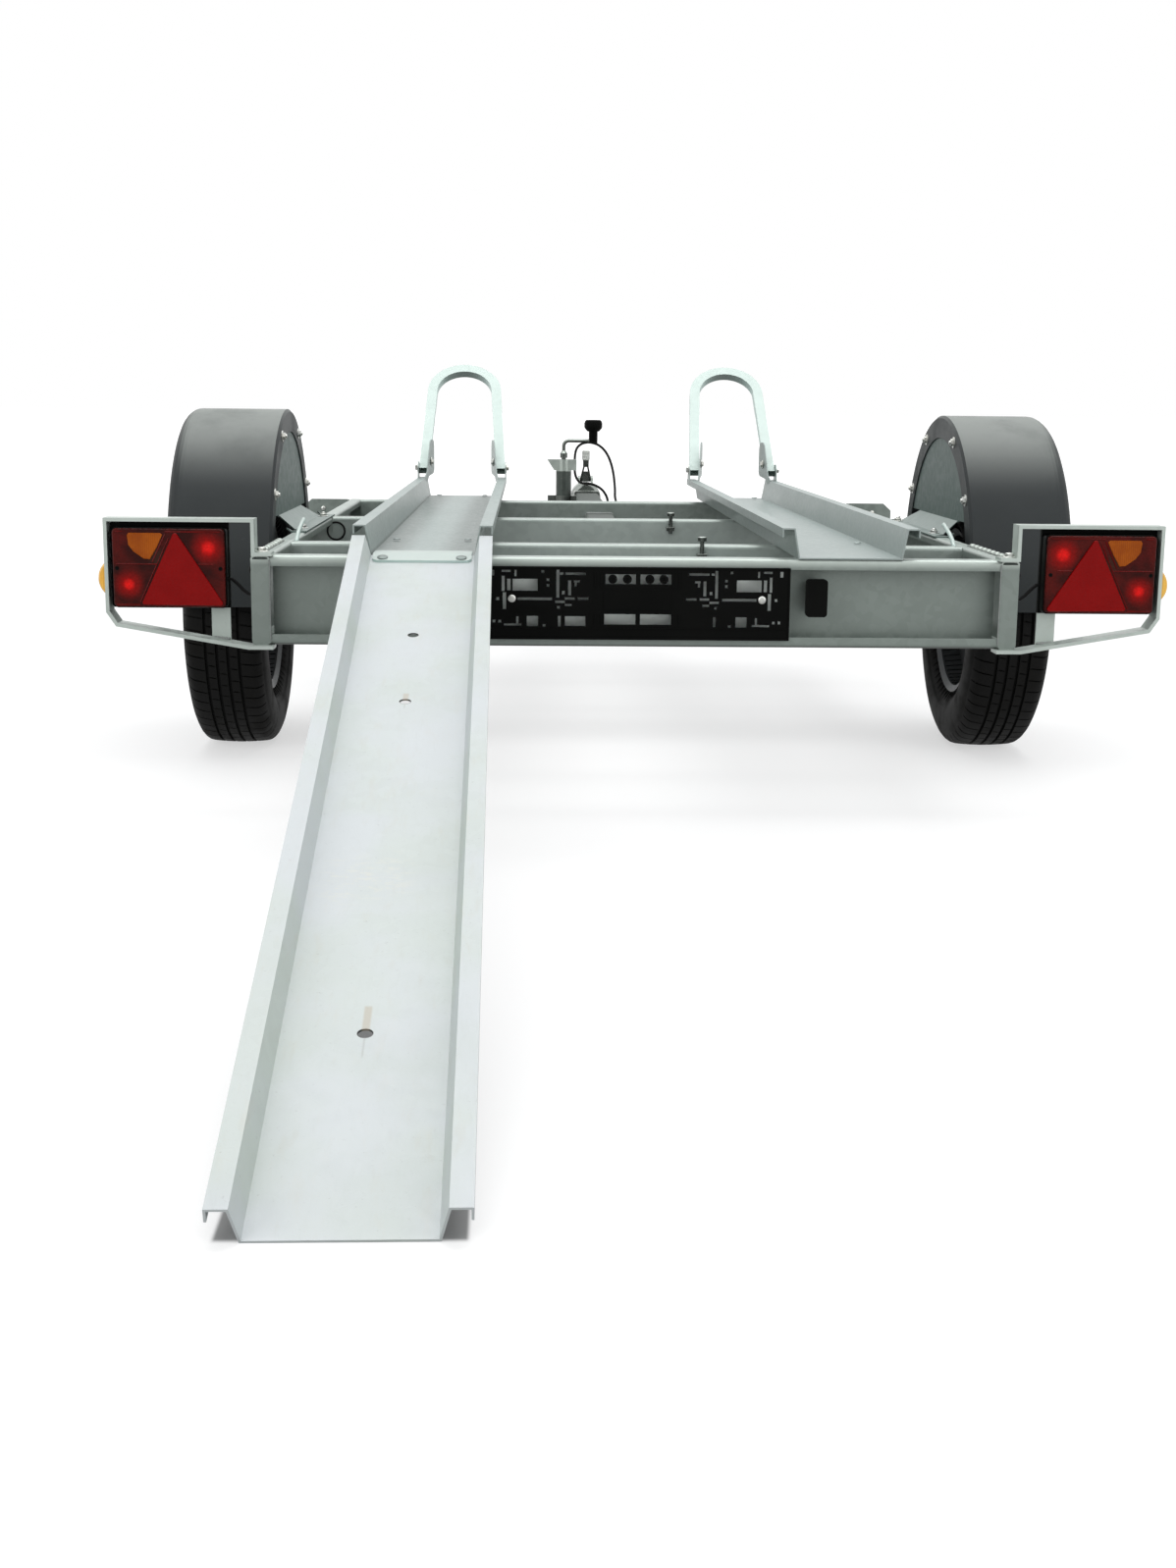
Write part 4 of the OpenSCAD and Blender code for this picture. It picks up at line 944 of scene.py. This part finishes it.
def grommets():
    """The rubber ring in the middle crossmember, and the small ones in the side rails."""
    bm = bmesh.new()
    ring = [(0, 17.6), (0, 20.6), (1.6, 21.4), (3.4, 20.4), (3.4, 18.4), (1.6, 17.2)]
    lathe(bm, at(-615, 1061.8, 434), (0, -1, 0), ring, 36, ring=True)
    for s in (-1, 1):
        lathe(bm, at(s * SIDE_X, 6, 440), (s, 0, 0), [(0, 7), (1.5, 6.5), (3, 4.2), (3, 3.2)], 18)
    piece("grommets", bm, M["cable"], "trailer", 35)


def weld_beads():
    bm = bmesh.new()
    x = DRAWBAR_SIDE
    for s in (-1, 1):
        weld(bm, (s * 694, 15.5, 321), (s * 724, 15.5, 323), 3.2)
        weld(bm, (s * 623, -1, 318), (s * 623, -1, 458), 1.4)
        weld(bm, (s * x, 1796, 366), (s * x, 1796, 434), 3)
        weld(bm, (s * x, 1066, 366), (s * x, 1066, 434), 3)
    weld(bm, (1 - x, 1796, 435.5), (x - 1, 1796, 435.5), 3)
    weld(bm, (1 - x, 1066, 435.5), (x - 1, 1066, 435.5), 3)
    piece("welds", bm, M["weld"], "trailer", 60)


frame_bolts()
rail_bolts()
clamp_studs()
grommets()
weld_beads()


# Bolts of the mudguards and their plates
def guard_bolts(side, name):
    bm = bmesh.new()
    r = 320
    for a in (-56, -25, 25, 56):
        y = WHEEL_Y + r * math.sin(math.radians(a))
        z = 359 + r * math.cos(math.radians(a))
        bolt(bm, at(side * 685, y, z), (-side, 0, 0), 13, 5.5, True, 0.4, 3)
        dome(bm, at(side * 691, y, z), (side, 0, 0), 8, 4)
    for y in (640, 1030):
        bolt(bm, at(side * 640, y, 468), (0, 0, 1), 13, 5.5, True, 0.2, 3)
    piece("guard_bolts_" + name, bm, M["bolt"], "trailer", 35)


for guard_side, guard_name in SIDES:
    guard_bolts(guard_side, guard_name)


# Black knob of the jockey wheel's crank
def crank_knob():
    bm = bmesh.new()
    up = (0, 0, 1)
    foot = at(17, 2850, 592.8)
    lathe(bm, foot, up, [
        (-0.4, 12.6), (0, 13.5), (4, 13.9), (5, 13.2), (7, 13.2), (8, 13.9), (34, 13.9), (35.6, 14.6),
        (35.9, 18.6), (45.6, 27), (50, 27.4), (62, 27.4), (65.6, 26.8), (68.5, 25), (70.6, 22.6), (71.2, 21),
        (71.4, 12), (70.9, 11), (70.9, 0),
    ], 40)
    for i in range(10):
        a = math.pi * i / 5
        c = foot + Vector((26.4 * math.cos(a), 26.4 * math.sin(a), 47.5)) / 1000
        lathe(bm, c, up, [(0, 0.6), (1.5, 1.8), (14, 1.8), (15.5, 0.6)], 8)
    piece("crank_knob", bm, M["black"], "jockey_crank_screw", 40)


# White grip of the coupling's lever
def lever_grip():
    bm = bmesh.new()
    profile = [(0, 10.5), (0.6, 12.2)]
    for i in range(5):
        h = 4.6 * i
        profile += [(2 + h, 12.5), (5 + h, 12.5), (5.4 + h, 11.9), (6.2 + h, 11.9)]
    profile += [(27, 12.4), (29.6, 10.6), (30.5, 8), (30.8, 0)]
    lathe(bm, at(0, 3022, 534.8), (0, 0, 1), profile, 32)
    piece("lever_grip", bm, M["grip"], "coupling_lever", 40)


crank_knob()
lever_grip()


# Materials of the nodes that stay
def dress():
    """The first rule whose words begin a node's name sets its material, or else it is frame zinc."""
    rules = (
        ("mudguard_plate", "plate"), ("mudguard", "guard"), ("wheel_rail", "rail"), ("hoop", "bright"),
        ("ramp_cleat", "bright"), ("ramp", "ramp"), ("lamp_guard", "bar"), ("lashing", "bright"),
        ("lamp_leads", "cable"), ("lamp_housing", "black"), ("side_marker", "amber"), ("plate_lamp", "black"),
        ("front_lamps", "lamp_white"), ("rim", "rim"), ("drawbar", "drawbar"), ("rear_cross", "cross"),
        ("middle_cross", "cross"), ("hubs", "hub"), ("axle", "axle"), ("swing", "axle"), ("coupling", "zinc"),
        ("jockey_wheel", "tyre"), ("jockey_mast", "mast"), ("jockey", "zinc"), ("cable_gland", "cable"),
        ("tyre", "tyre"), ("lamp_lens", "red_edge"), ("plate_holder", "black"), ("connector", "cable"),
    )
    for n, obj in nodes.items():
        mat = next((m for k, m in rules if n.startswith(k)), "frame")
        obj.data.materials.clear()
        obj.data.materials.append(M[mat])


dress()


# Floor, background and lights
def painted_shadow_under_ramp(g, place):
    """Painted shadow on the floor seen through the ramp's holes and past its foot's lips, which is kept dark.
    """
    across = g.math("MULTIPLY_ADD", place["Y"], math.tan(RAMP_TURN), RAIL_X / 1000 - OY * math.tan(RAMP_TURN))
    across = g.math("ABSOLUTE", g.math("ADD", place["X"], across))
    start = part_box("ramp")[0].y + 0.014
    low_end = g.between(place["Y"], start, start + 0.146, 0.006)
    whole = g.between(place["Y"], start, OY + 0.7, 0.006)
    lips = g.math("MULTIPLY", g.ramp(across, 0.116, 0.110), low_end)
    middle = g.math("MULTIPLY", g.ramp(across, 0.065, 0.055), whole)
    return g.math("MAXIMUM", lips, middle)


def floor_material():
    """Pale and matt, with the shadow kept, and turning to the background's white further out."""
    g = Graph(bpy.data.materials.new("floor"))
    g.nt.nodes.clear()
    path = g.node("ShaderNodeLightPath").outputs
    place = g.node("ShaderNodeNewGeometry").outputs["Position"]
    # Painted shadow: under the ramp, camera rays see the floor's darker 0.42 tone and no glow.
    clear = g.math("SUBTRACT", 1.0, painted_shadow_under_ramp(g, g.split(place)))
    tone = g.node("ShaderNodeMapRange")
    tone.inputs["To Min"].default_value = 0.42
    tone.inputs["To Max"].default_value = 0.97
    g.put(tone.inputs["Value"], g.math("MULTIPLY", path["Is Camera Ray"], clear))
    diffuse = g.node("ShaderNodeBsdfDiffuse")
    g.put(diffuse.inputs["Color"], tone.outputs["Result"])
    glow = g.node("ShaderNodeEmission")
    glow.inputs["Color"].default_value = (1, 1, 1, 1)
    glow.inputs["Strength"].default_value = 1.25
    away = g.node("ShaderNodeVectorMath", operation="LENGTH")
    g.put(away.inputs[0], place)
    far = g.ramp(away.outputs["Value"], 2.6, 6.0, 0.45, 1.0)
    seen = g.math("MAXIMUM", path["Is Camera Ray"], path["Is Glossy Ray"])
    share = g.math("MULTIPLY", seen, g.math("MULTIPLY", far, clear))
    g.blend(share, diffuse.outputs[0], glow.outputs[0], "ShaderNodeOutputMaterial")
    return g.owner


def floor():
    bm = bmesh.new()
    bmesh.ops.create_circle(bm, cap_ends=True, radius=90, segments=96)
    me = bpy.data.meshes.new("floor")
    bm.to_mesh(me)
    bm.free()
    obj = bpy.data.objects.new("floor", me)
    bpy.context.scene.collection.objects.link(obj)
    me.materials.append(floor_material())


def studio_world():
    """Soft light on the object, and plain white where it is seen, mirrored or looked at through glass."""
    world = bpy.data.worlds.new("studio")
    bpy.context.scene.world = world
    g = Graph(world)
    g.nt.nodes.clear()
    path = g.node("ShaderNodeLightPath").outputs
    seen = g.math("MAXIMUM", path["Is Camera Ray"], path["Is Glossy Ray"])
    seen = g.math("MAXIMUM", seen, path["Is Transmission Ray"])
    lit = g.node("ShaderNodeBackground")
    lit.inputs["Color"].default_value = (0.97, 0.985, 1, 1)
    lit.inputs["Strength"].default_value = 0.5
    white = g.node("ShaderNodeBackground")
    white.inputs["Color"].default_value = (1, 1, 1, 1)
    white.inputs["Strength"].default_value = 1.0
    g.blend(seen, lit.outputs[0], white.outputs[0], "ShaderNodeOutputWorld")


def light(name, place, size, power):
    """A square lamp that points at the trailer's middle."""
    data = bpy.data.lights.new(name, "AREA")
    data.size = size
    data.energy = power
    obj = bpy.data.objects.new(name, data)
    bpy.context.scene.collection.objects.link(obj)
    obj.location = place
    obj.rotation_euler = (Vector((0, 0, 0.4)) - Vector(place)).to_track_quat("-Z", "Y").to_euler()


floor()
studio_world()
light("overhead", (0.0, 0.3, 4.6), 5.0, 150)
light("left", (-3.6, -4.4, 2.4), 3.0, 80)
light("right", (3.8, -4.0, 2.2), 3.0, 70)
bpy.context.scene.view_settings.view_transform = "Standard"
